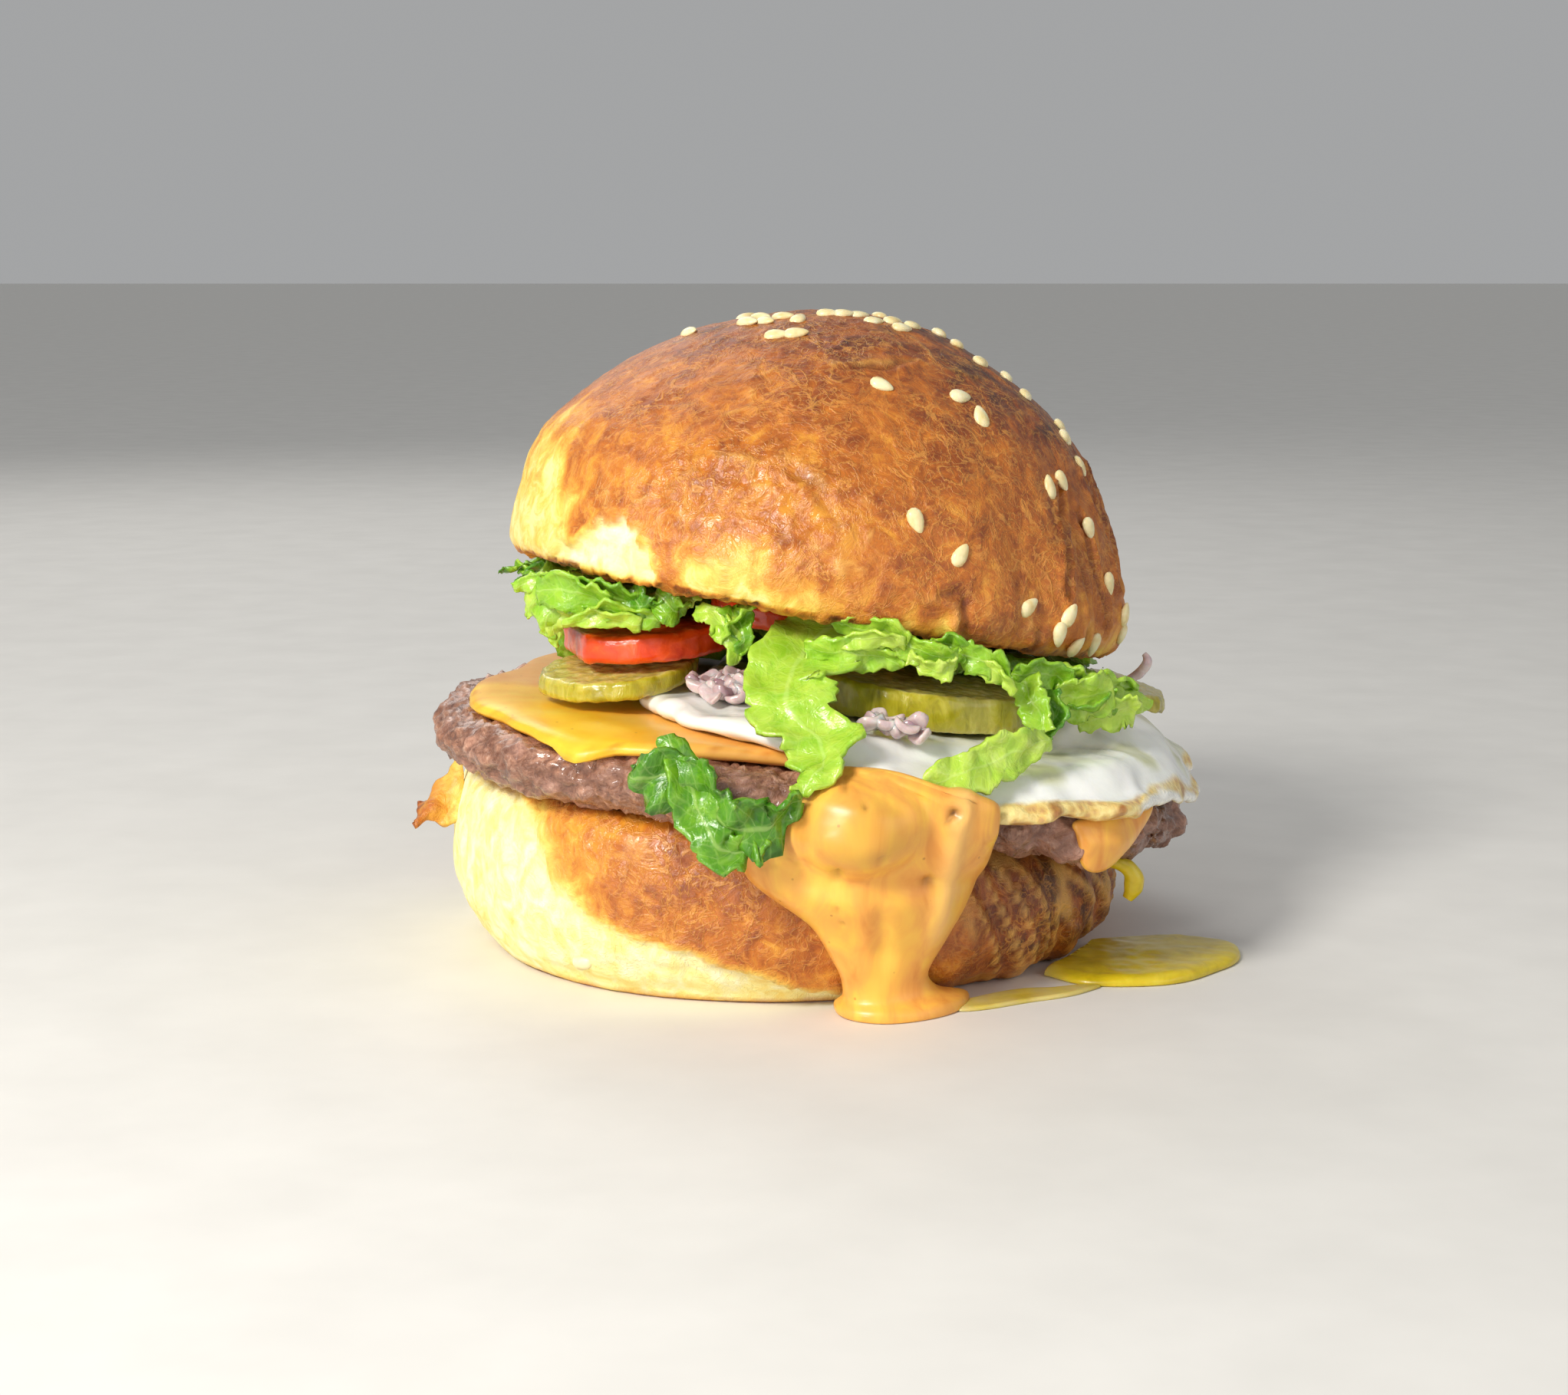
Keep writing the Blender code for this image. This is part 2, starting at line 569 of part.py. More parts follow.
# Minced onion
def make_onion(name, group, below):
    """A small heap: a low core with angular bits fused on."""
    centre, radii, height, count = ONION_HEAPS[name]
    dice = random.Random(int(1000 + centre[0]))
    trees = surface_of(below)

    def level(x, y):
        found = top_over(trees, x, y, 1.6 * MM)
        return found if found is not None else top_over(trees, centre[0] * MM, centre[1] * MM, MM)

    def place(row, angle):
        share, lift = row
        x = (centre[0] + radii[0] * share * 0.8 * math.cos(angle)) * MM
        y = (centre[1] + radii[1] * share * 0.8 * math.sin(angle)) * MM
        rise = lift * height * MM * (0.35 + 0.3 * (1 - share))
        return Vector((x, y, level(x, y) + GAP + rise))
    core = shaped_sphere(name, "onion", group, SLICE_ROWS, 8, place)
    bits = loose_group(name + "_bits")
    for number in range(count):
        angle = number * 2.4
        away = math.sqrt((number + 0.5) / count) * 0.86
        x = (centre[0] + radii[0] * away * math.cos(angle)) * MM
        y = (centre[1] + radii[1] * away * math.sin(angle)) * MM
        half = ONION_BIT * dice.uniform(0.38, 0.55)
        rise = max(half * 0.95, height * MM * (1 - away) * 0.62)
        mesh = bmesh.new()
        bmesh.ops.create_cube(mesh, size=2.0)
        turn = Matrix.Rotation(dice.uniform(0, 3), 3, "Z")
        turn = turn @ Matrix.Rotation(dice.uniform(-0.4, 0.4), 3, "X")
        for vert in mesh.verts:
            flat = Vector((vert.co.x * half * 1.35, vert.co.y * half, vert.co.z * half * 0.6))
            vert.co = Vector((x, y, level(x, y) + GAP + rise)) + turn @ flat
        add_object(mesh, "bit", "onion", bits)
    fuse(core, bits, "EXACT")
    return core


# Lettuce
def ribbon(name, group, spine, widths, across, wave, twist, seed, segments, trees=()):
    """A thin wavy strip along a spine of points in millimetres; both faces are split alike."""
    mesh = bmesh.new()
    bmesh.ops.create_grid(mesh, x_segments=segments[0], y_segments=segments[1], size=1.0)
    path = [Vector(point) * MM for point in spine]
    count = len(path) - 1
    for vert in mesh.verts:
        along = (vert.co.x + 1) / 2 * count
        low = min(int(along), count - 1)
        part = along - low
        here = path[low].lerp(path[low + 1], part)
        width = (widths[low] * (1 - part) + widths[low + 1] * part) * MM / 2
        ahead = (path[min(low + 2, count)] - path[max(low - 1, 0)]).normalized()
        side = Vector(across).normalized()
        side = (side - ahead * side.dot(ahead)).normalized()
        up = ahead.cross(side)
        swing = twist * (along / count - 0.5)
        side = side * math.cos(swing) + up * math.sin(swing)
        up = ahead.cross(side)
        ripple = math.sin(along * 2.6 + seed + vert.co.y * 1.7)
        ripple += 0.5 * math.sin(along * 5.1 - vert.co.y * 2.4)
        edge = 1 + 0.16 * math.sin(along * 4.3 + seed * 3 + vert.co.y)
        spot = here + side * (vert.co.y * width * edge) + up * (wave * MM * ripple)
        floor = top_over(trees, spot.x, spot.y, 1.6 * MM)
        if floor is not None:
            spot.z = max(spot.z, floor + LEAF / 2 + 2 * GAP)
        vert.co = spot
    bmesh.ops.triangulate(mesh, faces=mesh.faces)
    strip = add_object(mesh, name, "lettuce", group)
    shell = strip.modifiers.new("thickness", "SOLIDIFY")
    shell.thickness = LEAF
    shell.offset = 0.0
    depsgraph = bpy.context.evaluated_depsgraph_get()
    strip.data = bpy.data.meshes.new_from_object(strip.evaluated_get(depsgraph))
    strip.modifiers.clear()
    return strip


def make_leaf(name, group, below, others):
    """A loose leaf of one or two fused strips, kept clear of what it lies on."""
    trees = surface_of(below)
    pieces = loose_group(name + "_pieces")
    first = None
    for number, (spine, widths, across, wave, twist) in enumerate(LEAVES[name]):
        home = group if first is None else pieces
        seed = number + len(spine)
        strip = ribbon(name, home, spine, widths, across, wave, twist, seed, (len(spine) + 2, 2), trees)
        first = first or strip
    if pieces.objects:
        fuse(first, pieces, "MANIFOLD")
    else:
        bpy.data.collections.remove(pieces)
    cut_clear(first, others, 1.5 * GAP, "MANIFOLD")
    return first


def bed_outline(angle):
    """Round, with a notch at the front where the tomato and onion reach the crown."""
    off = abs(angle + math.pi / 2)
    notch = BED_NOTCH * max(0, math.cos(off * 1.6)) ** 0.8 if off < 0.95 else 0
    front_right = 5 * MM * max(0, math.cos(angle + 0.6)) ** 3
    ragged = 0.04 * math.sin(7 * angle) + 0.03 * math.sin(11 * angle + 1)
    return BED_RADIUS * (1 + ragged) + front_right - notch


def make_lettuce(group, below):
    """The bed of shreds between the toppings and the crown, with strips fused round its edge."""
    trees = surface_of(below)

    def place(row, angle):
        share, lift = row
        radius = bed_outline(angle) * share
        x = BED_CENTRE.x + radius * math.cos(angle)
        y = BED_CENTRE.y + radius * math.sin(angle)
        low = top_over(trees, x, y, 4.5 * MM) + 2 * GAP
        high = crown_bottom(x, y) - 4 * GAP
        low = min(low, high - 1.2 * MM)
        return Vector((x, y, low + (high - low) * lift))
    bed = shaped_sphere("lettuce", "lettuce", group, BED_ROWS, 26, place)
    strips = loose_group("lettuce_strips")
    for number, (angle, reach, drop, turn, width) in enumerate(rim_strips()):
        add_rim_strip(strips, trees, number, math.radians(angle), reach, drop, turn, width)
    fuse(bed, strips, "MANIFOLD")
    return bed


def rim_strips():
    """Angle, reach past the bed, drop, turn and width of each strip along the bed's edge."""
    dice = random.Random(7)
    table = []
    for angle in range(0, 360, 15):
        left = 180 < angle < 240
        right = angle > 300
        if 240 <= angle <= 300:
            continue
        reach = dice.uniform(5, 9) if left or right else dice.uniform(3, 6)
        drop = dice.uniform(4, 6.5) if left else dice.uniform(2, 4.5)
        turn = dice.uniform(-0.9, 0.9)
        table.append((angle + dice.uniform(-4, 4), reach, drop, turn, dice.uniform(5.5, 8)))
    return table


def add_rim_strip(group, trees, number, angle, reach, drop, turn, width):
    radius = bed_outline((angle + math.pi) % math.tau - math.pi)
    spine = []
    for step, share in enumerate((0.84, 0.94, 1.0, 1.0, 1.0)):
        out = radius * share + (reach * MM * (step - 1) / 3 if step > 1 else 0)
        bend = angle + turn * 0.12 * step
        x = BED_CENTRE.x + out * math.cos(bend)
        y = BED_CENTRE.y + out * math.sin(bend)
        low = top_over(trees, x, y, 2 * MM)
        high = crown_bottom(x, y) - 2.2 * MM
        z = high - 0.8 * MM - drop * MM * (step / 4) ** 1.5
        if low is not None:
            z = max(z, min(low + 1.8 * MM, high))
        spine.append((x / MM, y / MM, z / MM))
    across = (-math.sin(angle), math.cos(angle), 0.5 * turn)
    widths = (width, width, width * 0.9, width * 0.75, width * 0.35)
    ribbon("strip", group, spine, widths, across, 0.5, turn * 1.2, number * 1.3, (6, 1))


# Sauce and yolk
def hanging(name, look, group, rows, around, trees, bump, probe):
    """A thick run down the front of the stack; rows give height, edges and depth."""
    def place(row, angle):
        height, left, right, depth = (value * MM for value in row)
        x = (left + right) / 2 + (right - left) / 2 * math.cos(angle)
        z = probe(x, height)
        back = front_of(trees, x, z, 2.6 * MM)
        while back is None:
            z -= MM
            back = front_of(trees, x, z, 2.6 * MM)
        out = max(0, -math.sin(angle)) ** 0.75
        fill = back - curtain(trees, x, z, back)
        return Vector((x, back - 1.5 * GAP - out * (depth + fill + bump(x, height)), height))
    return shaped_sphere(name, look, group, rows, around, place)


def curtain(trees, x, z, back):
    """Where a run hangs that leaves an edge above it and comes back to the wall further down."""
    for step in range(2, SAUCE_CURTAIN, 2):
        edge = front_of(trees, x, z + step * MM, 2.6 * MM)
        if edge is not None:
            back = min(back, edge + step * MM * SAUCE_SLOPE)
    return back


def make_sauce(group, behind):
    def bump(x, z):
        """A lump under the sauce, round with a soft foot."""
        beside = (x - SAUCE_BUMP_CENTRE[0]) / SAUCE_BUMP_RADIUS[0]
        above = (z - SAUCE_BUMP_CENTRE[1]) / SAUCE_BUMP_RADIUS[1]
        away = math.hypot(beside, above)
        return SAUCE_BUMP_HEIGHT * math.sqrt(max(0, 1 - away * away))

    def probe(x, z):
        return z
    sauce = hanging("sauce_front", "sauce", group, SAUCE_ROWS, 26, surface_of(behind), bump, probe)
    cut_clear(sauce, behind, GAP, "MANIFOLD")
    return sauce


def make_side_sauce(group, behind):
    def bump(x, z):
        return 0

    def probe(x, z):
        return max(z, sag(x) + 3.5 * MM)
    backs = surface_of(behind[1:2])
    sauce = hanging("sauce_side", "sauce", group, SIDE_SAUCE_ROWS, 20, backs, bump, probe)
    cut_clear(sauce, behind, GAP, "MANIFOLD")
    return sauce


def make_pool(group):
    """Spilled yolk, flat below and round-edged above, beside the heel."""
    def place(row, angle):
        share, lift = row
        size = share * (1 + 0.06 * math.sin(3 * angle + 1) + 0.04 * math.sin(7 * angle))
        x = POOL_RADIUS[0] * size * math.cos(angle)
        y = POOL_RADIUS[1] * size * math.sin(angle)
        spot = POOL_CENTRE + Matrix.Rotation(POOL_TURN, 3, "Z") @ Vector((x, y, 0))
        if spot.length < POOL_BESIDE:
            spot *= POOL_BESIDE / spot.length
        return spot + Vector((0, 0, lift * POOL_THICKNESS))
    return shaped_sphere("yolk_pool", "yolk", group, SLICE_ROWS, 20, place)


def make_strand(name, look, group, points, radii):
    """A round strand: a curve with bevel, thicker or thinner by point."""
    curve = bpy.data.curves.new(name, "CURVE")
    curve.dimensions = "3D"
    curve.resolution_u = 2
    curve.bevel_depth = MM
    curve.bevel_resolution = 1
    curve.use_fill_caps = True
    line = curve.splines.new("NURBS")
    line.points.add(len(points) - 1)
    line.use_endpoint_u = True
    for point, spot, radius in zip(line.points, points, radii):
        point.co = (spot[0] * MM, spot[1] * MM, spot[2] * MM, 1)
        point.radius = radius
    carrier = bpy.data.objects.new(name, curve)
    group.objects.link(carrier)
    depsgraph = bpy.context.evaluated_depsgraph_get()
    mesh = bmesh.new()
    mesh.from_mesh(bpy.data.meshes.new_from_object(carrier.evaluated_get(depsgraph)))
    bmesh.ops.remove_doubles(mesh, verts=mesh.verts, dist=0.00001)
    bpy.data.objects.remove(carrier, do_unlink=True)
    return add_object(mesh, name, look, group)


def build():
    clear_scene()
    main = bpy.data.collections.new("cheeseburger")
    bpy.context.scene.collection.children.link(main)
    heel = make_heel(main)
    add_heel_trims(heel)
    patty = make_patty(main)
    cheese = make_cheese(main, [patty])
    cut_clear(cheese, [patty], GAP)
    egg = make_egg(main, [patty, cheese])
    cut_clear(egg, [cheese, patty], 1.5 * GAP)
    below = [patty, cheese, egg]
    for name in SLICES:
        piece = make_slice(name, name.split("_")[0], main)
        rest_on(piece, below)
        below.append(piece)
    onions = [make_onion(name, main, below[:6]) for name in ONION_HEAPS]
    crown = make_crown(main)
    seeds = loose_group("seeds")
    for spot in seed_spots(crown):
        make_seed(spot, seeds)
    fuse(crown, seeds, "EXACT")
    lettuce = make_lettuce(main, below + onions)
    cut_clear(lettuce, below[2:] + onions, 2 * GAP, "MANIFOLD")
    sauce = make_sauce(main, [heel, patty, cheese, egg])
    make_side_sauce(main, [heel, patty, egg])
    neighbours = below + onions + [sauce, lettuce, crown]
    for name in LEAVES:
        neighbours.append(make_leaf(name, main, below + onions, neighbours))
    pool = make_pool(main)
    cut_clear(pool, [heel, sauce], GAP, "MANIFOLD")
    drip = make_strand("yolk_drip", "yolk", main, DRIP_POINTS, DRIP_RADII)
    cut_clear(drip, [heel, patty], GAP, "MANIFOLD")
    curl = make_strand("onion_curl", "onion", main, CURL_POINTS, CURL_RADII)
    cut_clear(curl, [lettuce], GAP, "MANIFOLD")


build()
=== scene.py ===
import math
import random

import bpy
import numpy as np
from mathutils import Matrix, Vector, noise
from mathutils.bvhtree import BVHTree


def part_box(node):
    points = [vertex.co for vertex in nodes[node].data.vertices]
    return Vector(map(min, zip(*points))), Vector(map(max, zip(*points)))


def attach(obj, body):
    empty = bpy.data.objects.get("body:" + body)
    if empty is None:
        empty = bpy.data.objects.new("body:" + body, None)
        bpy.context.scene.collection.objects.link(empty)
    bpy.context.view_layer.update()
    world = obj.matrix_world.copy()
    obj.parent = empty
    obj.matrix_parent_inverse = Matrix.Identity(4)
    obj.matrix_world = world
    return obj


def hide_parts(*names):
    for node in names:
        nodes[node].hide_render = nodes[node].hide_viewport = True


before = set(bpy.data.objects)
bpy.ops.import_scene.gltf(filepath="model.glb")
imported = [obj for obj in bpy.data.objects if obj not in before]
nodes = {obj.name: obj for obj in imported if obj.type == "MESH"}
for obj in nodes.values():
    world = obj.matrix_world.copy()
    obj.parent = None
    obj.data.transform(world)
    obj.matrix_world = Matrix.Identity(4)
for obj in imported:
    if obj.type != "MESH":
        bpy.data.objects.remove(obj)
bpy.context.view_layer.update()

MM = 0.001
GAP = 0.3 * MM
# noise_vector takes its offsets from this seed
noise.seed_set(3)


# Camera, floor and light
CAMERA_AIM = Vector((0.9, 0, 37.7)) * MM
CAMERA_ELEVATION = math.radians(9.5)
CAMERA_DISTANCE = 0.426
LIGHTS_AIM = Vector((0, 0, 0.04))
FLOOR_REACH = 12.0


def add_object(name, data):
    obj = bpy.data.objects.new(name, data)
    bpy.context.scene.collection.objects.link(obj)
    return obj


def look_from(obj, target):
    obj.rotation_euler = (target - obj.location).to_track_quat("-Z", "Y").to_euler()


def make_camera():
    data = bpy.data.cameras.new("camera")
    data.lens = 60
    data.sensor_width = 36
    data.clip_start = 0.01
    camera = add_object("camera", data)
    back = Vector((0, -math.cos(CAMERA_ELEVATION), math.sin(CAMERA_ELEVATION)))
    camera.location = CAMERA_AIM + back * CAMERA_DISTANCE
    look_from(camera, CAMERA_AIM)
    bpy.context.scene.camera = camera


def add_light(name, place, size, energy, colour):
    data = bpy.data.lights.new(name, "AREA")
    data.shape = "DISK"
    data.size = size
    data.energy = energy
    data.color = colour
    light = add_object(name, data)
    light.location = place
    look_from(light, LIGHTS_AIM)


def make_studio():
    add_light("key", (-0.36, -0.50, 0.46), 0.2, 4.8, (1.0, 0.97, 0.92))
    add_light("fill", (0.75, -0.55, 0.35), 0.7, 1.2, (0.94, 0.96, 1.0))
    add_light("rim", (-0.3, 0.7, 0.6), 0.5, 1.6, (1.0, 0.98, 0.95))
    add_light("glint", (-0.36, -0.56, 0.12), 0.07, 0.9, (1.0, 0.98, 0.95))
    world = bpy.data.worlds.new("studio")
    bpy.context.scene.world = world
    world.use_nodes = True
    back = world.node_tree.nodes["Background"]
    back.inputs["Color"].default_value = (0.88, 0.89, 0.90, 1)
    back.inputs["Strength"].default_value = 0.42
    bpy.context.scene.view_settings.view_transform = "Standard"
    mesh = bpy.data.meshes.new("floor")
    turns = ((-1, -1), (1, -1), (1, 1), (-1, 1))
    mesh.from_pydata([(x * FLOOR_REACH, y * FLOOR_REACH, 0) for x, y in turns], [], [(0, 1, 2, 3)])
    floor = add_object("floor", mesh)
    paper = Look("paper", roughness=0.7)
    grain = paper.noise(0.02, detail=3)
    paper.colour(paper.ramp(grain, [(0.3, (222, 220, 215)), (0.7, (228, 226, 221))]))
    mesh.materials.append(paper.material)


# Materials
def linear(colour):
    """Linear values of a colour given as it shows, 0 to 255."""
    return tuple(((c / 255 + 0.055) / 1.055) ** 2.4 if c > 10 else c / 255 / 12.92 for c in colour)


class Look:
    """A node-built material; sizes are in metres on the object itself.

    soft is the subsurface weight and its scale in mm, coat the coat's weight and roughness."""

    def __init__(self, name, soft=None, coat=None, **shader):
        if soft:
            shader.update(subsurface_weight=soft[0], subsurface_scale=soft[1] * MM)
        if coat:
            shader.update(coat_weight=coat[0], coat_roughness=coat[1])
        self.material = bpy.data.materials.new(name)
        self.material.use_nodes = True
        self.tree = self.material.node_tree
        self.shader = self.tree.nodes["Principled BSDF"]
        for key, value in shader.items():
            socket = key.replace("_", " ").title().replace("Ior", "IOR")
            self.shader.inputs[socket].default_value = value
        self.place = self.tree.nodes.new("ShaderNodeTexCoord").outputs["Object"]
        self.normal = None

    def link(self, source, socket):
        if isinstance(source, (int, float)):
            socket.default_value = source
        elif isinstance(source, tuple):
            socket.default_value = (*linear(source), 1)
        else:
            self.tree.links.new(source, socket)

    def stretched(self, x, y, z):
        made = self.tree.nodes.new("ShaderNodeMapping")
        made.inputs["Scale"].default_value = (x, y, z)
        self.link(self.place, made.inputs["Vector"])
        return made.outputs["Vector"]

    def noise(self, size, detail=4.0, rough=0.55, bend=0.0, place=None):
        made = self.tree.nodes.new("ShaderNodeTexNoise")
        made.inputs["Scale"].default_value = 1 / size
        made.inputs["Detail"].default_value = detail
        made.inputs["Roughness"].default_value = rough
        made.inputs["Distortion"].default_value = bend
        self.link(place or self.place, made.inputs["Vector"])
        return made.outputs["Fac"]

    def cells(self, size, feature="F1"):
        made = self.tree.nodes.new("ShaderNodeTexVoronoi")
        made.feature = feature
        made.inputs["Scale"].default_value = 1 / size
        self.link(self.place, made.inputs["Vector"])
        return made.outputs["Distance"]

    def painted(self, name):
        made = self.tree.nodes.new("ShaderNodeAttribute")
        made.attribute_name = name
        return made.outputs["Fac"]

    def math(self, kind, first, second=0.0, third=None):
        made = self.tree.nodes.new("ShaderNodeMath")
        made.operation = kind
        self.link(first, made.inputs[0])
        self.link(second, made.inputs[1])
        if third is not None:
            self.link(third, made.inputs[2])
        return made.outputs[0]

    def eased(self, value, low, high, start=0.0, stop=1.0):
        made = self.tree.nodes.new("ShaderNodeMapRange")
        made.interpolation_type = "SMOOTHSTEP"
        ends = (("From Min", low), ("From Max", high), ("To Min", start), ("To Max", stop))
        for key, number in ends:
            made.inputs[key].default_value = number
        self.link(value, made.inputs["Value"])
        return made.outputs["Result"]

    def veins(self, size, width, detail, bend):
        """Thin wandering lines, 1 on the line."""
        wave = self.noise(size, detail, 0.5, bend)
        away = self.math("ABSOLUTE", self.math("SUBTRACT", wave, 0.5))
        return self.eased(away, 0.0, width, 1.0, 0.0)

    def swayed(self, value, wave, share):
        """The value with a share of a wave about 0.5 added."""
        return self.math("MULTIPLY_ADD", self.math("SUBTRACT", wave, 0.5), share, value)

    def strongest(self, first, *others):
        """The greatest of several values, each given with its share."""
        best = self.math("MULTIPLY", *first)
        for pair in others:
            best = self.math("MAXIMUM", best, self.math("MULTIPLY", *pair))
        return best

    def ramp(self, value, stops):
        made = self.tree.nodes.new("ShaderNodeValToRGB")
        band = made.color_ramp
        while len(band.elements) < len(stops):
            band.elements.new(0.5)
        for element, (spot, colour) in zip(band.elements, stops):
            element.position = spot
            element.color = (*linear(colour), 1)
        self.link(value, made.inputs["Fac"])
        return made.outputs["Color"]

    def mix(self, part, first, second):
        made = self.tree.nodes.new("ShaderNodeMix")
        made.data_type = "RGBA"
        self.link(part, made.inputs["Factor"])
        self.link(first, made.inputs[6])
        self.link(second, made.inputs[7])
        return made.outputs[2]

    def over(self, layer, share, colour, tint):
        """A colour with a share of a layer's tint over it; a painted layer goes by its name."""
        if isinstance(layer, str):
            layer = self.painted(layer)
        return self.mix(self.math("MULTIPLY", layer, share), colour, tint)

    def bump(self, height, depth, strength):
        made = self.tree.nodes.new("ShaderNodeBump")
        made.inputs["Distance"].default_value = depth
        made.inputs["Strength"].default_value = strength
        self.link(height, made.inputs["Height"])
        if self.normal is not None:
            self.link(self.normal, made.inputs["Normal"])
        self.normal = made.outputs["Normal"]
        self.link(self.normal, self.shader.inputs["Normal"])

    def colour(self, source):
        self.link(source, self.shader.inputs["Base Color"])

    def rough(self, source):
        self.link(source, self.shader.inputs["Roughness"])


# Meshes
def dense(rows, scale, step):
    """Rows eased through the given ones, about a step apart; scale turns a row into millimetres."""
    table = np.array(rows, float)
    gaps = np.diff(table, axis=0)
    slopes = np.zeros_like(table)
    product = gaps[:-1] * gaps[1:]
    total = np.where(product > 0, gaps[:-1] + gaps[1:], 1.0)
    slopes[1:-1] = np.where(product > 0, 2 * product / total, 0.0)
    slopes[0], slopes[-1] = gaps[0], gaps[-1]
    out = [tuple(table[0])]
    for low, gap in enumerate(gaps):
        count = max(1, round(float(np.linalg.norm(gap * np.array(scale))) / step))
        for k in range(1, count + 1):
            t = k / count
            here = ((2 * t ** 3 - 3 * t ** 2 + 1) * table[low]
                    + (t ** 3 - 2 * t ** 2 + t) * slopes[low])
            there = ((3 * t ** 2 - 2 * t ** 3) * table[low + 1]
                     + (t ** 3 - t ** 2) * slopes[low + 1])
            out.append(tuple(here + there))
    return out


def smooth(mesh):
    for face in mesh.polygons:
        face.use_smooth = True


def new_object(name, verts, faces):
    mesh = bpy.data.meshes.new(name)
    mesh.from_pydata([tuple(v) for v in verts], [], faces)
    mesh.update()
    smooth(mesh)
    return add_object(name, mesh)


def pebble(verts, faces, rings, around, place):
    """A closed lump added to the lists; place puts the vertex at a latitude and an angle."""
    first = len(verts)
    for i in range(rings + 1):
        for j in range(around):
            verts.append(place(math.pi * i / rings - math.pi / 2, math.tau * j / around))
    for i in range(rings):
        for j in range(around):
            a, b = first + i * around + j, first + i * around + (j + 1) % around
            faces.append((a, b, b + around, a + around))


def settle(obj):
    """Puts what the object's modifiers make into its mesh."""
    depsgraph = bpy.context.evaluated_depsgraph_get()
    obj.data = bpy.data.meshes.new_from_object(obj.evaluated_get(depsgraph))
    obj.modifiers.clear()


def ring_body(name, rows, around, place):
    """A closed body of rings between two poles; place puts each vertex."""
    rings = [[place(row, math.tau * i / around) for i in range(around)] for row in rows[1:-1]]
    verts = [place(rows[0], 0.0)] + [v for ring in rings for v in ring] + [place(rows[-1], 0.0)]
    faces = []
    high = 1 + (len(rings) - 1) * around
    for i in range(around):
        j = (i + 1) % around
        faces.append((0, 1 + j, 1 + i))
        faces.append((len(verts) - 1, high + i, high + j))
        for ring in range(len(rings) - 1):
            a = 1 + ring * around + i
            b = 1 + ring * around + j
            faces.append((a, b, b + around, a + around))
    return new_object(name, verts, faces)


def points_of(obj):
    co = np.empty(len(obj.data.vertices) * 3)
    obj.data.vertices.foreach_get("co", co)
    return co.reshape(-1, 3)


def put_points(obj, co):
    obj.data.vertices.foreach_set("co", np.ascontiguousarray(co, dtype=np.float32).ravel())
    obj.data.update()


def normals_of(obj):
    out = np.empty(len(obj.data.vertices) * 3)
    obj.data.vertices.foreach_get("normal", out)
    return out.reshape(-1, 3)


def push(obj, lift):
    """Moves each vertex along its normal."""
    put_points(obj, points_of(obj) + normals_of(obj) * np.asarray(lift)[:, None])


def paint(obj, name, values):
    layer = obj.data.attributes.new(name, "FLOAT", "POINT")
    layer.data.foreach_set("value", np.ascontiguousarray(values, dtype=np.float32))


def relief(point, size, seed):
    """A smooth value from -1 to 1 that changes over the given length."""
    return noise.noise(point / size + Vector((seed, 3.1 * seed, 7.7 * seed)))


def field(co, size, seed, stretch=(1, 1, 1)):
    """The same value for many points."""
    moved = co * np.array(stretch) / size + np.array((seed, 3.1 * seed, 7.7 * seed))
    return np.array([noise.noise(p) for p in moved])


def ridges(co, size, seed, stretch=(1, 1, 1)):
    """1 along winding crests, falling to both sides."""
    return 1 - 2 * np.abs(field(co, size, seed, stretch))


def jitter(co, size, seed):
    """Three smooth values for each point, to bend a pattern with."""
    return np.stack([field(co, size, seed + k) for k in range(3)], axis=1)


def grains(co, size, seed):
    """Distance to the nearest grain's middle, and the step to the next one."""
    moved = co / size + seed
    found = np.array([noise.voronoi(p)[0][:2] for p in moved])
    return found[:, 0], found[:, 1] - found[:, 0]


def ease(value, low, high):
    """0 below low, 1 above high, eased between them."""
    t = np.clip((value - low) / (high - low), 0, 1)
    return t * t * (3 - 2 * t)


def bell(value, middle, width):
    """1 at the middle, falling away over the width."""
    return np.exp(-((value - middle) / width) ** 2)


def blot(across, up, middle, size):
    """A patch with a soft edge, 1 in its middle."""
    return np.exp(-(((across - middle[0]) / size[0]) ** 2 + ((up - middle[1]) / size[1]) ** 2) ** 2)


def azimuth_of(x, y):
    """Direction seen from above in degrees, from -300 to 60: it doesn't jump at the front."""
    azimuth = np.degrees(np.arctan2(y, x))
    return np.where(azimuth > 60, azimuth - 360, azimuth)


def soften(obj, turns, share=0.5):
    """Evens out steps left by draping."""
    edges = np.array([e.vertices[:] for e in obj.data.edges])
    co = points_of(obj)
    count = np.bincount(edges.ravel(), minlength=len(co))[:, None]
    for _ in range(turns):
        total = np.zeros_like(co)
        np.add.at(total, edges[:, 0], co[edges[:, 1]])
        np.add.at(total, edges[:, 1], co[edges[:, 0]])
        co += share * (total / count - co)
    put_points(obj, co)


def near_line(co, line):
    """Distance of each point to a line through several points."""
    best = np.full(len(co), 1e9)
    for start, stop in zip(line, line[1:]):
        a, b = np.array(start), np.array(stop)
        t = np.clip(((co - a) @ (b - a)) / max(float((b - a) @ (b - a)), 1e-12), 0, 1)
        best = np.minimum(best, np.linalg.norm(co - a - t[:, None] * (b - a), axis=1))
    return best


def tree_of(obj):
    """A search tree of an object whose place lies in its mesh."""
    mesh = obj.data
    return BVHTree.FromPolygons([v.co for v in mesh.vertices], [p.vertices for p in mesh.polygons])


def trees_of(*names):
    return [tree_of(nodes[name]) for name in names]


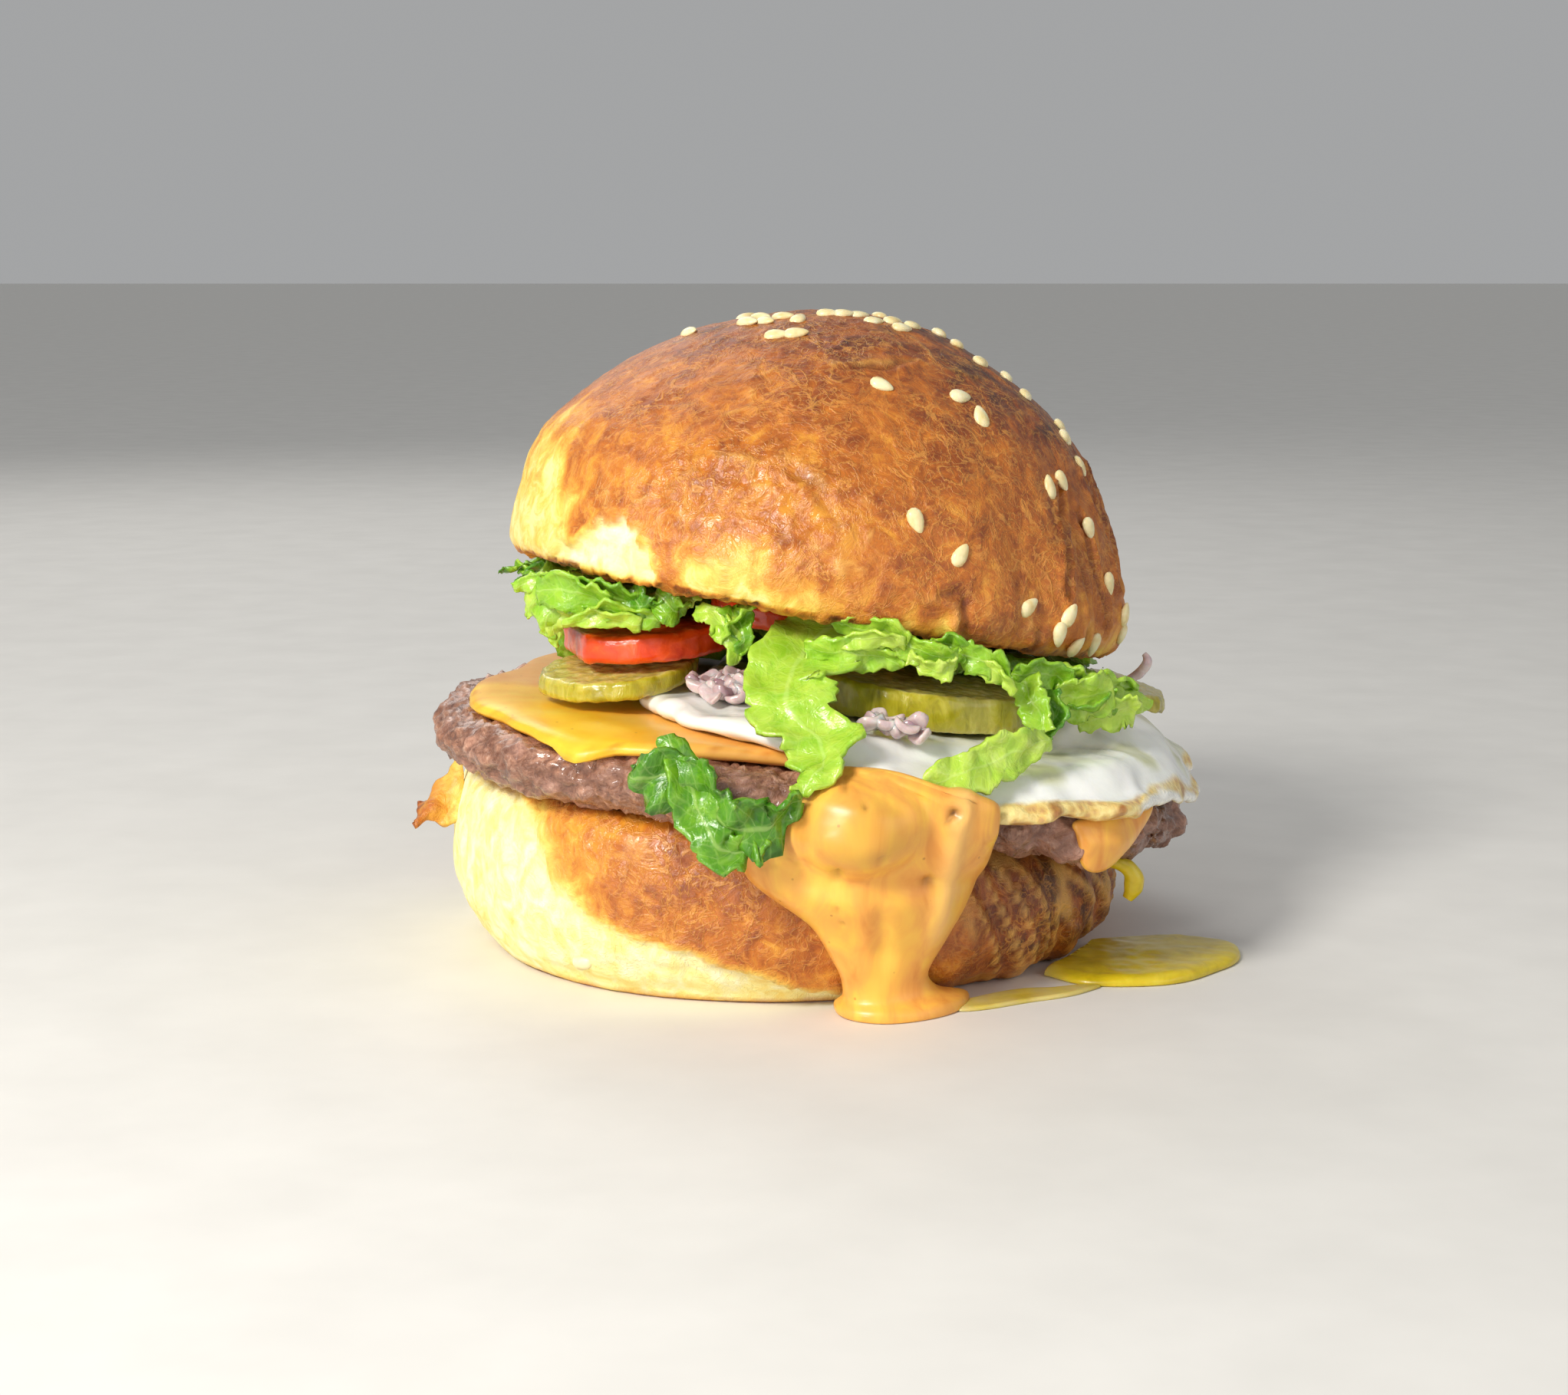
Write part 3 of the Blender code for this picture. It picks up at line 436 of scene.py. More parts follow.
def nearby(reach):
    """A spot and eight spots round it."""
    slant = reach * 0.7
    return [(0, 0), (reach, 0), (-reach, 0), (0, reach), (0, -reach),
            (slant, slant), (-slant, slant), (slant, -slant), (-slant, -slant)]


def top_over(trees, x, y, reach):
    """Highest point of the shapes near a spot, or None beyond them."""
    best = None
    for dx, dy in nearby(reach):
        for tree in trees:
            hit = tree.ray_cast(Vector((x + dx, y + dy, 0.5)), Vector((0, 0, -1)))[0]
            if hit is not None and (best is None or hit.z > best):
                best = hit.z
    return best


def front_of(trees, x, z, reach):
    """Foremost point of the shapes near a spot, looking along +Y, or None beyond them."""
    best = None
    for dx, dz in nearby(reach):
        for tree in trees:
            hit = tree.ray_cast(Vector((x + dx, -0.5, z + dz)), Vector((0, 1, 0)))[0]
            if hit is not None and (best is None or hit.y < best):
                best = hit.y
    return best


def dress(obj, look, slot, *replaced):
    """Keeps a piece above the table, gives it its material and body and hides the nodes it
    replaces; slot is not used.
    """
    co = points_of(obj)
    co[:, 2] = np.maximum(co[:, 2], 0)
    put_points(obj, co)
    obj.data.materials.append(look.material)
    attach(obj, "root")
    if replaced:
        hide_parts(*replaced)
    return obj


def sag(x):
    """Height of the heel's top, which all layers follow."""
    return 26.4 * MM - 0.115 * x - 1.2 * x * x


# Crust: bake from pale to dark, with painted shade on the shaded sides and a painted highlight on
# the glossy patch; torn crumb, creases, char with painted shade in folds and pleats, gloss
def crust_look():
    look = Look("crust", roughness=0.45, specular_ior_level=0.6)
    wide = look.noise(12 * MM, 4, 0.55, 0.5)
    mottle = look.noise(4.2 * MM, 6, 0.66, 0.7)
    fine = look.noise(0.9 * MM, 3, 0.6)
    # bake holds the bake and also painted shade on the shaded sides and a painted highlight on the
    # crown's glossy patch
    bake = look.painted("bake")
    level = look.swayed(bake, wide, 0.5)
    level = look.swayed(level, mottle, 1.0)
    level = look.swayed(level, fine, 0.1)
    colour = look.ramp(level, [(0.0, (250, 232, 150)), (0.2, (242, 202, 88)), (0.4, (222, 152, 48)),
                               (0.6, (190, 106, 26)), (0.8, (142, 68, 14)), (1.0, (78, 32, 8))])
    lines = look.strongest((look.veins(6.5 * MM, 0.028, 4, 1.1), 0.5),
                           (look.veins(3.4 * MM, 0.03, 3, 0.9), 0.4),
                           (look.veins(1.7 * MM, 0.04, 2, 0.8), 0.3))
    lines = look.math("MULTIPLY", lines, look.eased(bake, 0.15, 0.6, 0.1, 1.0))
    lines = look.math("MULTIPLY", lines, look.eased(wide, 0.38, 0.6, 0.35, 1.0))
    colour = look.mix(lines, colour, (236, 168, 76))
    colour = look.mix(look.painted("crease"), colour, (244, 190, 98))
    # char: real char on toasted edges, and painted shade in folds, in pleat troughs and on the
    # shaded top right
    colour = look.mix(look.painted("char"), colour, (66, 26, 8))
    crumb_tone = look.noise(4.0 * MM, 4, 0.6, 0.6)
    crumb = look.ramp(crumb_tone, [(0.28, (246, 218, 118)), (0.45, (252, 238, 158)),
                                   (0.66, (255, 248, 204))])
    torn = look.painted("torn")
    colour = look.mix(torn, colour, crumb)
    look.colour(colour)
    base = look.eased(torn, 0.0, 1.0, 0.46, 0.75)
    shine = look.math("MULTIPLY", look.painted("gloss"), look.eased(mottle, 0.35, 0.62, 0.34, 0.2))
    look.rough(look.math("SUBTRACT", base, shine))
    look.bump(look.eased(mottle, 0.3, 0.7), 0.35 * MM, 0.5)
    look.bump(lines, 0.3 * MM, 0.6)
    look.bump(fine, 0.12 * MM, 0.5)
    return look


CROWN_CENTRE = Vector((6.0 * MM, 2.0 * MM, 53.4 * MM))
CROWN_HEART = Vector((0, 0, 12 * MM))
CROWN_REACH = 48 * MM
CROWN_LEAN = (-4.2, 10.3)
# Height on the crown's axis, and radius to its left and right, in mm
CROWN_ROWS = [(0, 0, 0), (0, 20, 19), (0, 40, 37), (0, 48.4, 46.6), (1.6, 50.4, 48.8),
              (6, 51.0, 49.6), (12.5, 50.3, 47.6), (19.5, 48.2, 44.4), (25.5, 43.7, 40.8),
              (31, 38.2, 36.9), (36, 31.8, 31.4), (40.2, 24.8, 25.2), (43.4, 17.0, 18.6),
              (45.8, 8.4, 11.2), (46.9, 0, 0)]
# Raised wrinkles of the crown's skin: half width and height in mm, then azimuth and elevation
# from its heart
CROWN_LINES = [
    (0.9, 0.45, [(-99, 39), (-90, 42), (-80, 45.5), (-72, 47.5), (-68, 46), (-61, 47.5),
                (-47, 47)]),
    (0.8, 0.4, [(-64.6, 61.6), (-62.4, 53.5), (-65, 47)]),
    (1.0, 0.4, [(-146.8, 12), (-145, 5), (-143.5, 0), (-142, -5.5)]),
    (0.9, 0.3, [(-135.5, 6), (-134.5, 2), (-133.5, -1), (-131, -4)]),
    (0.7, 0.3, [(-112, 37), (-114.5, 31), (-115, 26), (-112, 22), (-118, 17)]),
    (0.9, 0.5, [(-120, 13), (-117.5, 9), (-117.8, 6), (-121.5, 3), (-119, 0), (-114.6, -1.5),
                (-110, -3.5)]),
    (1.0, 0.5, [(-117, 10.5), (-108, 11.5), (-100, 12.4), (-94.5, 9), (-91, 5), (-88.5, 0.3),
                (-88.2, -4.7)]),
    (0.8, 0.35, [(-108, 11), (-106, 7), (-101, 4), (-98, 0), (-100, -4)]),
    (0.8, 0.4, [(-129, 3), (-126.4, -0.5), (-122, 1), (-119.5, 2.5)]),
    (0.7, 0.35, [(-86.2, 7.5), (-84.4, 5), (-84.5, 2), (-86, -1)]),
    (0.7, 0.3, [(-92.4, -1), (-88, -2.8), (-85, -4.8)]),
    (1.0, 0.8, [(-79, -7.8), (-74, -7.4), (-69.2, -5), (-67.8, -8), (-66.5, -13)]),
    (0.8, 0.5, [(-62, -7.7), (-59, -9), (-56.5, -13)]),
    (0.7, 0.5, [(-53, -5), (-48, -3), (-44.5, -2.6), (-43, 2.5)]),
    (0.6, 0.4, [(-51, -8), (-52, -12)]),
    (0.8, 0.35, [(-97, -3), (-93, -6), (-91.5, -12)]),
]
# Sunken folds of the crown: half width, depth in mm
CROWN_FOLDS = [
    (0.8, 1.3, [(-35.5, 17), (-38, 11), (-40.4, 7), (-42, 2), (-41.5, -3)]),
    (1.2, 1.6, [(-22, 20), (-20, 13), (-17, 7), (-20, 1)]),
    (1.0, 1.2, [(-30.5, 12), (-29.5, 4), (-27.5, -3), (-26, -9)]),
    (0.9, 0.9, [(-35, 4), (-34, -2), (-35.5, -9), (-36, -14)]),
    (0.9, 0.8, [(-70, -5.5), (-66, -6), (-64.5, -13)]),
    (0.8, 0.6, [(-49, -10), (-48, -15)]),
    (1.0, 0.5, [(-90, 2.5), (-93.5, 7), (-98.5, 10.4)]),
    (1.0, 0.4, [(-74, 47), (-84, 43), (-95, 39)]),
    (1.2, 1.3, [(-8, 22), (-5, 10), (-8, -2)]),
    (1.0, 1.0, [(6, 18), (9, 6), (5, -6)]),
]
# Upper end of the torn crumb below the crown's skin: azimuth, elevation from its heart
TORN_EDGE = [(-152, -16), (-145, -13), (-142.2, -8.9), (-138, -9.9), (-134, -6), (-131.4, -3.9),
             (-127, -4.7), (-121.4, -8.3), (-118.5, -14), (-116, -20)]

# Where the crown's baked skin starts: azimuth, elevation from its heart
BAKED_EDGE = [(-300, -8), (-200, 0), (-175, 6), (-160, 8), (-150, 4), (-142, -3), (-130, -8),
              (-118, -11), (-105, -12), (-95, -14), (-80, -18), (-60, -20), (-45, -20), (-20, -16),
              (40, -8)]


def direction(azimuth, tilt):
    a, e = math.radians(azimuth), math.radians(tilt)
    return Vector((math.cos(a) * math.cos(e), math.sin(a) * math.cos(e), math.sin(e)))


def crown_matrix():
    back, left = (math.radians(degrees) for degrees in CROWN_LEAN)
    lean = Matrix.Rotation(back, 4, "X") @ Matrix.Rotation(left, 4, "Y")
    return Matrix.Translation(CROWN_CENTRE) @ lean


def crown_point(row, angle):
    """A point of the crown in its own frame."""
    height, left, right = row
    mix = 0.5 + 0.5 * math.cos(angle)
    radius = (left * (1 - mix) + right * mix) * MM
    x = radius * math.cos(angle)
    y = radius * math.sin(angle)
    z = height * MM
    side = max(0, math.cos(angle + 0.35)) ** 3 * max(0, 1 - abs(height - 14) / 24)
    fold = 0.9 * MM * side * math.sin(17 * angle + height * 0.12)
    swell = 1.1 * MM * relief(Vector((x, y, z)), 24 * MM, 5)
    swell *= min(1, height / 6) * min(1, radius / 0.012)
    grow = 1 + (fold + swell) * min(1, height / 0.8) / max(radius, 0.004)
    face = max(0, 1 - height / 0.8) * (0.4 + 0.6 * min(1, max(0, radius - 0.03) / 0.01))
    z += face * 0.5 * MM * relief(Vector((x, y, 0)), 11 * MM, 9)
    return Vector((x * grow, y * grow, z))


def aimed(line):
    """Points at the crown's reach in the given directions, to measure distances over its skin."""
    return [tuple(direction(a, e) * CROWN_REACH) for a, e in line]


def make_crown(look):
    stand = crown_matrix()
    rows = dense(CROWN_ROWS, (1, 0.7, 0.7), 0.62)
    rows = [row for k, row in enumerate(rows) if row[0] > 0.001 or row[1] > 44 or k % 3 == 0]
    crown = ring_body("crown", rows, 470, crown_point)
    co = points_of(crown)
    out = co - np.array(CROWN_HEART)
    far = np.linalg.norm(out, axis=1)
    azimuth = azimuth_of(out[:, 0], out[:, 1])
    tilt = np.degrees(np.arcsin(out[:, 2] / far))
    height = co[:, 2] / MM
    shell = out / far[:, None] * CROWN_REACH
    radius = np.hypot(co[:, 0], co[:, 1])
    skin = ease(height, 0.2, 2.0)
    lift = np.zeros(len(co))
    crease = np.zeros(len(co))
    bent = shell + MM * (jitter(co, 5 * MM, 31) * 1.3 + jitter(co, 2 * MM, 35) * 0.5)
    uneven = 0.3 + 0.7 * ease(field(co, 4.5 * MM, 39), -0.25, 0.3)
    for width, rise, line in CROWN_LINES:
        away = near_line(bent, aimed(line)) / MM
        mark = bell(away, 0, 0.62 * width) * uneven
        lift += 0.8 * rise * MM * mark
        crease = np.maximum(crease, bell(away, 0, 0.5 * width) * uneven)
    groove = np.zeros(len(co))
    for width, depth, line in CROWN_FOLDS:
        away = near_line(bent, aimed(line)) / MM
        mark = bell(away, 0, 0.75 * width)
        lift -= depth * MM * mark
        lift += 0.45 * depth * MM * bell(away, 1.7 * width, 0.7 * width)
        groove = np.maximum(groove, mark)
    patch = blot(azimuth, tilt, (-106, 5), (20, 11))
    wrinkle = np.maximum(0, ridges(bent, 3.4 * MM, 3, (1, 1, 1.4)) - 0.4)
    right = ease(azimuth, -85, -45) * ease(-azimuth, -60, -10)
    low = ease(-height, -13, -4)
    rough = 0.8 * wrinkle + 0.3 * field(co, 5 * MM, 8) + 0.12 * field(co, 1.6 * MM, 11)
    lift += patch * rough * MM
    lift += right * low * 0.9 * MM * (ridges(bent, 5.5 * MM, 12, (1, 1, 0.4)) - 0.5)
    lift += 0.2 * MM * field(co, 4.5 * MM, 1) + 0.08 * MM * field(co, 1.7 * MM, 2)
    lift += 0.22 * MM * np.maximum(0, ridges(bent, 4.6 * MM, 4, (1, 1, 0.7)) - 0.55)
    lift += 0.12 * MM * np.maximum(0, ridges(bent, 2.2 * MM, 9) - 0.5)
    edge = np.interp(azimuth, *zip(*TORN_EDGE), left=-90, right=-90)
    torn = ease(edge - tilt + 2.2 * field(co, 2.2 * MM, 6), -0.6, 0.8) * (height > 0.05)
    lift -= torn * (0.7 + 0.45 * ridges(co, 2.2 * MM, 7, (1.6, 1.6, 0.6))) * MM
    lift += 0.5 * MM * bell(tilt - edge, 1.2, 1.1) * (edge > -60)
    rim = np.exp(-height / 1.1) * ease(radius / MM, 40, 47)
    crumbly = field(co, 1.1 * MM, 14) + 0.8 * field(co, 2.6 * MM, 15)
    bottom = (height < 0.15) & (radius < 47.5 * MM)
    lift = np.where(bottom, 0.0, lift * skin)
    move = normals_of(crown) * lift[:, None]
    move[:, 2] += 0.6 * MM * rim * crumbly
    outward = co[:, :2] / np.maximum(radius, 1e-5)[:, None]
    move[:, :2] += outward * (0.45 * MM * rim * (field(co, 1.5 * MM, 16) - 0.2))[:, None]
    pores = grains(co, 2.6 * MM, 5)[0]
    move[:, 2] += np.where(bottom, (0.55 - pores) * 0.7 * MM, 0)
    co = co + move
    put_points(crown, np.array([stand @ Vector(p) for p in co]))
    start = np.interp(azimuth, *zip(*BAKED_EDGE))
    streak = field(np.stack([azimuth, 0 * tilt, 0.15 * tilt], axis=1), 3.5, 21)
    bake = ease(tilt + 6 * streak + 4 * field(co, 7 * MM, 22), start - 5, start + 11)
    beside = ease(azimuth, -146, -138) * ease(-azimuth, 112, 118)
    above = ease(tilt - edge + 1.2 * field(co, 2 * MM, 25), 1.0, 3.5)
    bake = np.maximum(bake, beside * above * 0.85)
    bake = 0.12 + 0.52 * bake + 0.16 * ease(tilt, 5, 60)
    # Painted shade: the dome's right side is made darker; the glossy patch is made paler as a
    # painted highlight
    shaded = ease(azimuth, -75, -30) * ease(-azimuth, -60, 0) * ease(tilt, 0, 35)
    bake += 0.14 * shaded - 0.06 * patch
    bake = np.where(bottom, 0.55 + 0.4 * (pores - 0.4), bake)
    toast = bell(height, 0.1, 0.7) * ease(radius / MM, 44, 47)
    bake = np.maximum(bake, (0.75 + 0.3 * crumbly) * toast * (1 - 0.5 * torn))
    # Dark crust and painted shade on the shaded top right, painted shade in the sunken folds, real
    # char along the toasted rim
    dark = blot(azimuth, tilt, (-38, 55), (26, 13)) * ease(field(co, 4 * MM, 23), -0.2, 0.5)
    dark = np.maximum(dark * 0.8, 0.45 * groove)
    dark = np.maximum(dark, 0.75 * toast * ease(crumbly, 0.1, 0.7))
    paint(crown, "bake", bake)
    paint(crown, "torn", torn * (1 - toast) * ease(height, 0.4, 1.2))
    paint(crown, "crease", crease * 0.5 * skin)
    paint(crown, "char", dark)
    paint(crown, "gloss", np.clip(patch * 1.1 + 0.25 * ease(field(co, 8 * MM, 24), 0.1, 0.6), 0, 1))
    return dress(crown, look, "bun", "bun_top")


# Heel of the bun; rows are shares of its radius and of its height
HEEL_RADIUS = 54.5 * MM
HEEL_ROWS = [(0, 0), (0.5, 0), (0.85, 0), (0.92, 0.07), (0.972, 0.2), (0.996, 0.38), (1.0, 0.57),
             (0.985, 0.77), (0.95, 0.93), (0.9, 1.0), (0.62, 1.0), (0.3, 1.0), (0, 1.0)]
# Where the crust starts beside the torn crumb: height in mm and direction
CRUMB_EDGE = [(0, -72), (1.8, -80), (3.7, -88.5), (6.5, -96.4), (9.2, -104.4), (10.6, -111.8),
              (13.1, -119.7), (15.9, -125.2), (19.7, -129.2), (24.9, -133.1), (29, -142.4),
              (34, -147)]


def heel_point(row, angle):
    share, lift = row
    outline = 1 + 0.012 * math.sin(3 * angle + 0.6) + 0.008 * math.sin(5 * angle)
    radius = HEEL_RADIUS * outline * share
    x = radius * math.cos(angle)
    y = radius * math.sin(angle)
    side = min(1, max(0, (share - 0.86) / 0.05))
    pleat = 0.9 * MM * math.sin(22 * angle) * max(0, math.cos(angle + 0.55)) ** 4
    swell = 0.9 * MM * relief(Vector((x, y, lift * 30 * MM)), 16 * MM, 1)
    grow = 1 + side * (pleat + swell) / max(radius, 0.01)
    x *= grow
    y *= grow
    return Vector((x, y, lift * sag(x)))


def make_heel(look):
    heel = ring_body("heel", dense(HEEL_ROWS, (54, 27), 0.9), 360, heel_point)
    co = points_of(heel)
    height = co[:, 2] / MM
    radius = np.hypot(co[:, 0], co[:, 1]) / MM
    azimuth = azimuth_of(co[:, 0], co[:, 1])
    edge = np.interp(height, *zip(*CRUMB_EDGE))
    edge = edge + 2.5 * field(co, 5 * MM, 41)
    away = (azimuth - edge) * 0.95
    closing = ease(azimuth, -212, -204)
    torn = ease(-away, -0.5, 1.2) * closing * ease(height, 0.1, 1.0)
    wall = ease(radius, 46, 51)
    fibre = ridges(co, 4.0 * MM, 42, (1.4, 1.4, 0.35))
    lift = -torn * (0.55 + 0.35 * fibre + 0.35 * field(co, 7 * MM, 43)) * MM
    lift += 0.55 * MM * bell(away, 1.3, 1.1) * closing
    around = np.radians(azimuth) * 54 * MM + 0.55 * co[:, 2]
    slant = np.stack([around, co[:, 2], co[:, 2] * 0], axis=1)
    right = ease(azimuth, -68, -52) * ease(-azimuth, -58, -10)
    pleats = ridges(slant, 4.2 * MM, 44, (1, 0.22, 1))
    lift += right * 0.9 * MM * (pleats - 0.5)
    lift += right * 0.35 * MM * ridges(co, 2.0 * MM, 45)
    lift += (1 - torn) * (0.14 * field(co, 4 * MM, 46) + 0.08 * field(co, 1.8 * MM, 47)) * MM
    wet = blot(azimuth, height, (-109, 25), (15, 4.5))
    lift += wet * 0.45 * MM * np.maximum(0, ridges(co, 2.8 * MM, 48) - 0.35)
    curl = bell(height, 5.2, 1.0) * ease(-azimuth, 85, 100) * closing
    lift -= 0.4 * MM * curl
    put_points(heel, co + normals_of(heel) * (lift * wall)[:, None])
    bake = 0.62 + 0.10 * field(co, 12 * MM, 49)
    bake -= 0.42 * bell(away, 0, 2.6) + 0.1 * bell(away, 0, 7)
    bake -= 0.22 * ease(-height, -5, -1) + 0.12 * ease(-azimuth, 110, 128)
    # Painted shade: the heel's right side is made darker
    bake += 0.24 * right
    top = ease(height - sag(co[:, 0]) / MM, -1.6, -0.3)
    bake = np.maximum(bake, 0.72 * top * (1 - 0.4 * torn))
    paint(heel, "bake", bake)
    paint(heel, "torn", torn * (1 - 0.55 * bell(away, 0, 2.0)) * (1 - 0.7 * top))
    paint(heel, "crease", 0.5 * bell(away, 1.3, 0.9) + 0.55 * right * ease(pleats, 0.62, 0.9))
    # Painted shade in the troughs of the pleats on the right
    paint(heel, "char", 0.35 * right * ease(-pleats, -0.2, 0.6))
    paint(heel, "gloss", np.clip(wet * 1.6 + 0.3 * ease(field(co, 6 * MM, 50), 0.1, 0.6), 0, 1.3))
    return dress(heel, look, "bun", "bun_bottom")


# Torn flake of crust at the heel's left
def make_flap(look):
    verts, skin = [], []
    count, wide = 34, 30
    for i in range(count):
        u = i / (count - 1)
        for j in range(wide):
            v = j / (wide - 1)
            top = 29.4 - 8.4 * u ** 0.9 + 0.4 * math.sin(13 * u)
            foot = 18.8 + 0.6 * math.sin(9 * u + 1) + 0.6 * u
            z = foot + (top - foot) * v
            x = -50.9 - 6.8 * u - 0.4 * math.sin(7 * v + 2) * u
            y = -7.5 - 1.5 * u + 6 * (v - 0.5) * (1 - 0.4 * u) + math.sin(5 * v + 4 * u) * (0.3 + u)
            spot = Vector((x, y, z))
            spot += noise.noise_vector(spot / 3.2) * 0.6 * (0.3 + u)
            verts.append(spot * MM)
            skin.append(0.16 + 0.15 * abs(v - 0.45) + 0.5 * u ** 1.6)
    faces = [(i * wide + j, i * wide + j + 1, (i + 1) * wide + j + 1, (i + 1) * wide + j)
             for i in range(count - 1) for j in range(wide - 1)]
    flap = new_object("torn_flap", verts, faces)
    paint(flap, "bake", skin)
    thicken(flap, 1.1 * MM)
    co = points_of(flap)
    push(flap, 0.25 * MM * field(co, 1.4 * MM, 51))
    tip = ease(-co[:, 0] / MM, 54, 57)
    paint(flap, "char", 0.5 * ease(field(co, 2.2 * MM, 52), 0.2, 0.5) * tip)
    for name in ("torn", "crease", "gloss"):
        paint(flap, name, np.zeros(len(co)))
    return dress(flap, look, "bun")


def thicken(obj, depth):
    """Gives a sheet its thickness, half to each side."""
    shell = obj.modifiers.new("thickness", "SOLIDIFY")
    shell.thickness = depth
    shell.offset = 0.0
    settle(obj)


# Patty; rows are shares of its radius and of its height
PATTY_MIDDLE = 5.5 * MM
PATTY_RADIUS = 60.5 * MM
PATTY_HEIGHT = 9.2 * MM
PATTY_ROWS = [(0, 0), (0.45, 0), (0.84, 0), (0.94, 0.12), (0.985, 0.32), (1.0, 0.55),
              (0.985, 0.78), (0.94, 0.95), (0.84, 1.0), (0.6, 1.0), (0.32, 1.0), (0, 1.0)]


def patty_point(row, angle):
    share, lift = row
    outline = (1 + 0.015 * math.sin(2 * angle + 0.4) + 0.012 * math.sin(7 * angle)
               + 0.008 * math.sin(13 * angle + 1))
    radius = PATTY_RADIUS * outline * share
    x = PATTY_MIDDLE + radius * math.cos(angle)
    y = radius * math.sin(angle)
    z = sag(x) + GAP + lift * PATTY_HEIGHT
    side = min(1, max(0, (share - 0.86) / 0.06))
    lump = 1.3 * MM * relief(Vector((x, y, z)), 6 * MM, 11) * side
    return Vector((x + lump * math.cos(angle), y + lump * math.sin(angle), z))


def make_patty(look):
    rows = dense(PATTY_ROWS, (60, 9.2), 0.55)
    rows = [row for k, row in enumerate(rows) if row[0] > 0.8 or k % 4 == 0]
    patty = ring_body("patty_meat", rows, 560, patty_point)
    co = points_of(patty)
    bent = co + MM * 0.7 * jitter(co, 3 * MM, 7)
    near, step = grains(bent, 4.6 * MM, 3)
    small, crack = grains(bent, 2.0 * MM, 9)
    azimuth = azimuth_of(co[:, 0], co[:, 1])
    coarse = ease(azimuth, -66, -56) * ease(-azimuth, -30, 20)
    side = ease(np.hypot(co[:, 0] - PATTY_MIDDLE, co[:, 1]) / MM, 46, 54)
    lobe, seam = grains(bent, 8.5 * MM, 15)
    lift = 1.15 * (0.65 - near) + 1.1 * (0.5 - small) + 6.0 * coarse * (0.42 - lobe)
    lift += 0.22 * field(co, 1.1 * MM, 4) + 0.6 * (ridges(bent, 2.6 * MM, 16) - 0.5)
    lift *= 0.25 + 0.75 * side
    put_points(patty, co + normals_of(patty) * (lift * MM)[:, None])
    # Painted shade in the crevices between grains and in the seams between lobes
    gap = 1 - ease(np.minimum(step, crack * 1.3), 0.02, 0.26)
    paint(patty, "crack", np.maximum(gap, coarse * (1 - ease(seam, 0.03, 0.2))))
    pale = np.maximum(ease(field(co, 5 * MM, 5), -0.1, 0.6), 0.9 * coarse * (0.9 - lobe))
    paint(patty, "pale", pale)
    return dress(patty, look, "patty", "patty")


def patty_look():
    look = Look("minced_meat", roughness=0.42, coat=(0.45, 0.1))
    mottle = look.noise(2.2 * MM, 5, 0.65, 0.8)
    fine = look.noise(0.55 * MM, 3, 0.6)
    level = look.swayed(mottle, fine, 0.4)
    colour = look.ramp(level, [(0.22, (98, 60, 42)), (0.42, (150, 102, 78)),
                               (0.58, (184, 134, 108)), (0.78, (218, 180, 154))])
    colour = look.over("pale", 0.4, colour, (200, 152, 136))
    # Painted shade in the crevices
    colour = look.over("crack", 0.5, colour, (78, 40, 28))
    look.colour(colour)
    look.rough(look.eased(look.noise(1.3 * MM, 3), 0.35, 0.65, 0.2, 0.55))
    look.bump(mottle, 0.7 * MM, 0.9)
    look.bump(fine, 0.2 * MM, 0.8)
    return look


# Cheese and egg: shares of their reach and thickness; then direction in degrees and reach in mm
CHEESE_MIDDLE = (-3, -4)
EGG_MIDDLE = (22, -3)
SHEET_ROWS = [(0, 0), (0.33, 0), (0.64, 0), (0.86, 0), (0.965, 0.06), (1.0, 0.5), (0.965, 0.94),
              (0.86, 1.0), (0.64, 1.0), (0.33, 1.0), (0, 1.0)]
CHEESE_REACH = [(0, 44), (38, 53), (60, 46), (86, 44), (128, 53), (160, 45), (190, 47.5),
                (212, 48.5), (227, 50.5), (234, 53), (241, 56), (248, 52.5), (262, 49.5),
                (280, 50), (300, 50), (330, 45), (360, 44)]
EGG_REACH = [(0, 45), (30, 43), (60, 42), (90, 42), (120, 40), (150, 34), (180, 33), (198, 40),
             (212, 50), (222, 53), (240, 54.5), (256, 56), (270, 56.5), (285, 55), (300, 52.5),
             (330, 47), (360, 45)]


def reach_at(table, angle):
    """The table's reach, eased between its directions."""
    turned = math.degrees(angle) % 360
    for (start, near), (stop, far) in zip(table, table[1:]):
        if start <= turned <= stop:
            part = (turned - start) / (stop - start)
            return (near + (far - near) * part * part * (3 - 2 * part)) * MM


def draped(name, rows, around, centre, outline, thickness, below, droop, lifted=None):
    """A soft sheet that follows the top of the shapes below it."""
    trees = trees_of(*below)

    def spot(angle, radius):
        return (centre[0] * MM + radius * math.cos(angle),
                centre[1] * MM + radius * math.sin(angle))

    def place(row, angle):
        share, lift = row
        radius = outline(angle) * share
        x, y = spot(angle, radius)
        floor = top_over(trees, x, y, 2.5 * MM)
        step = 0
        while floor is None:
            step += 1
            floor = top_over(trees, *spot(angle, radius - step * MM), 2.5 * MM)
        floor += lifted(x) if lifted else 0
        return Vector((x, y, floor + GAP - step * MM * droop + lift * thickness(x, y)))
    return ring_body(name, rows, around, place)


def share_of(x, y, middle, outline):
    """How far out spots in mm lie: 1 on the outline."""
    reach = [outline(math.atan2(b - middle[1], a - middle[0])) / MM for a, b in zip(x, y)]
    return np.hypot(x - middle[0], y - middle[1]) / np.array(reach)


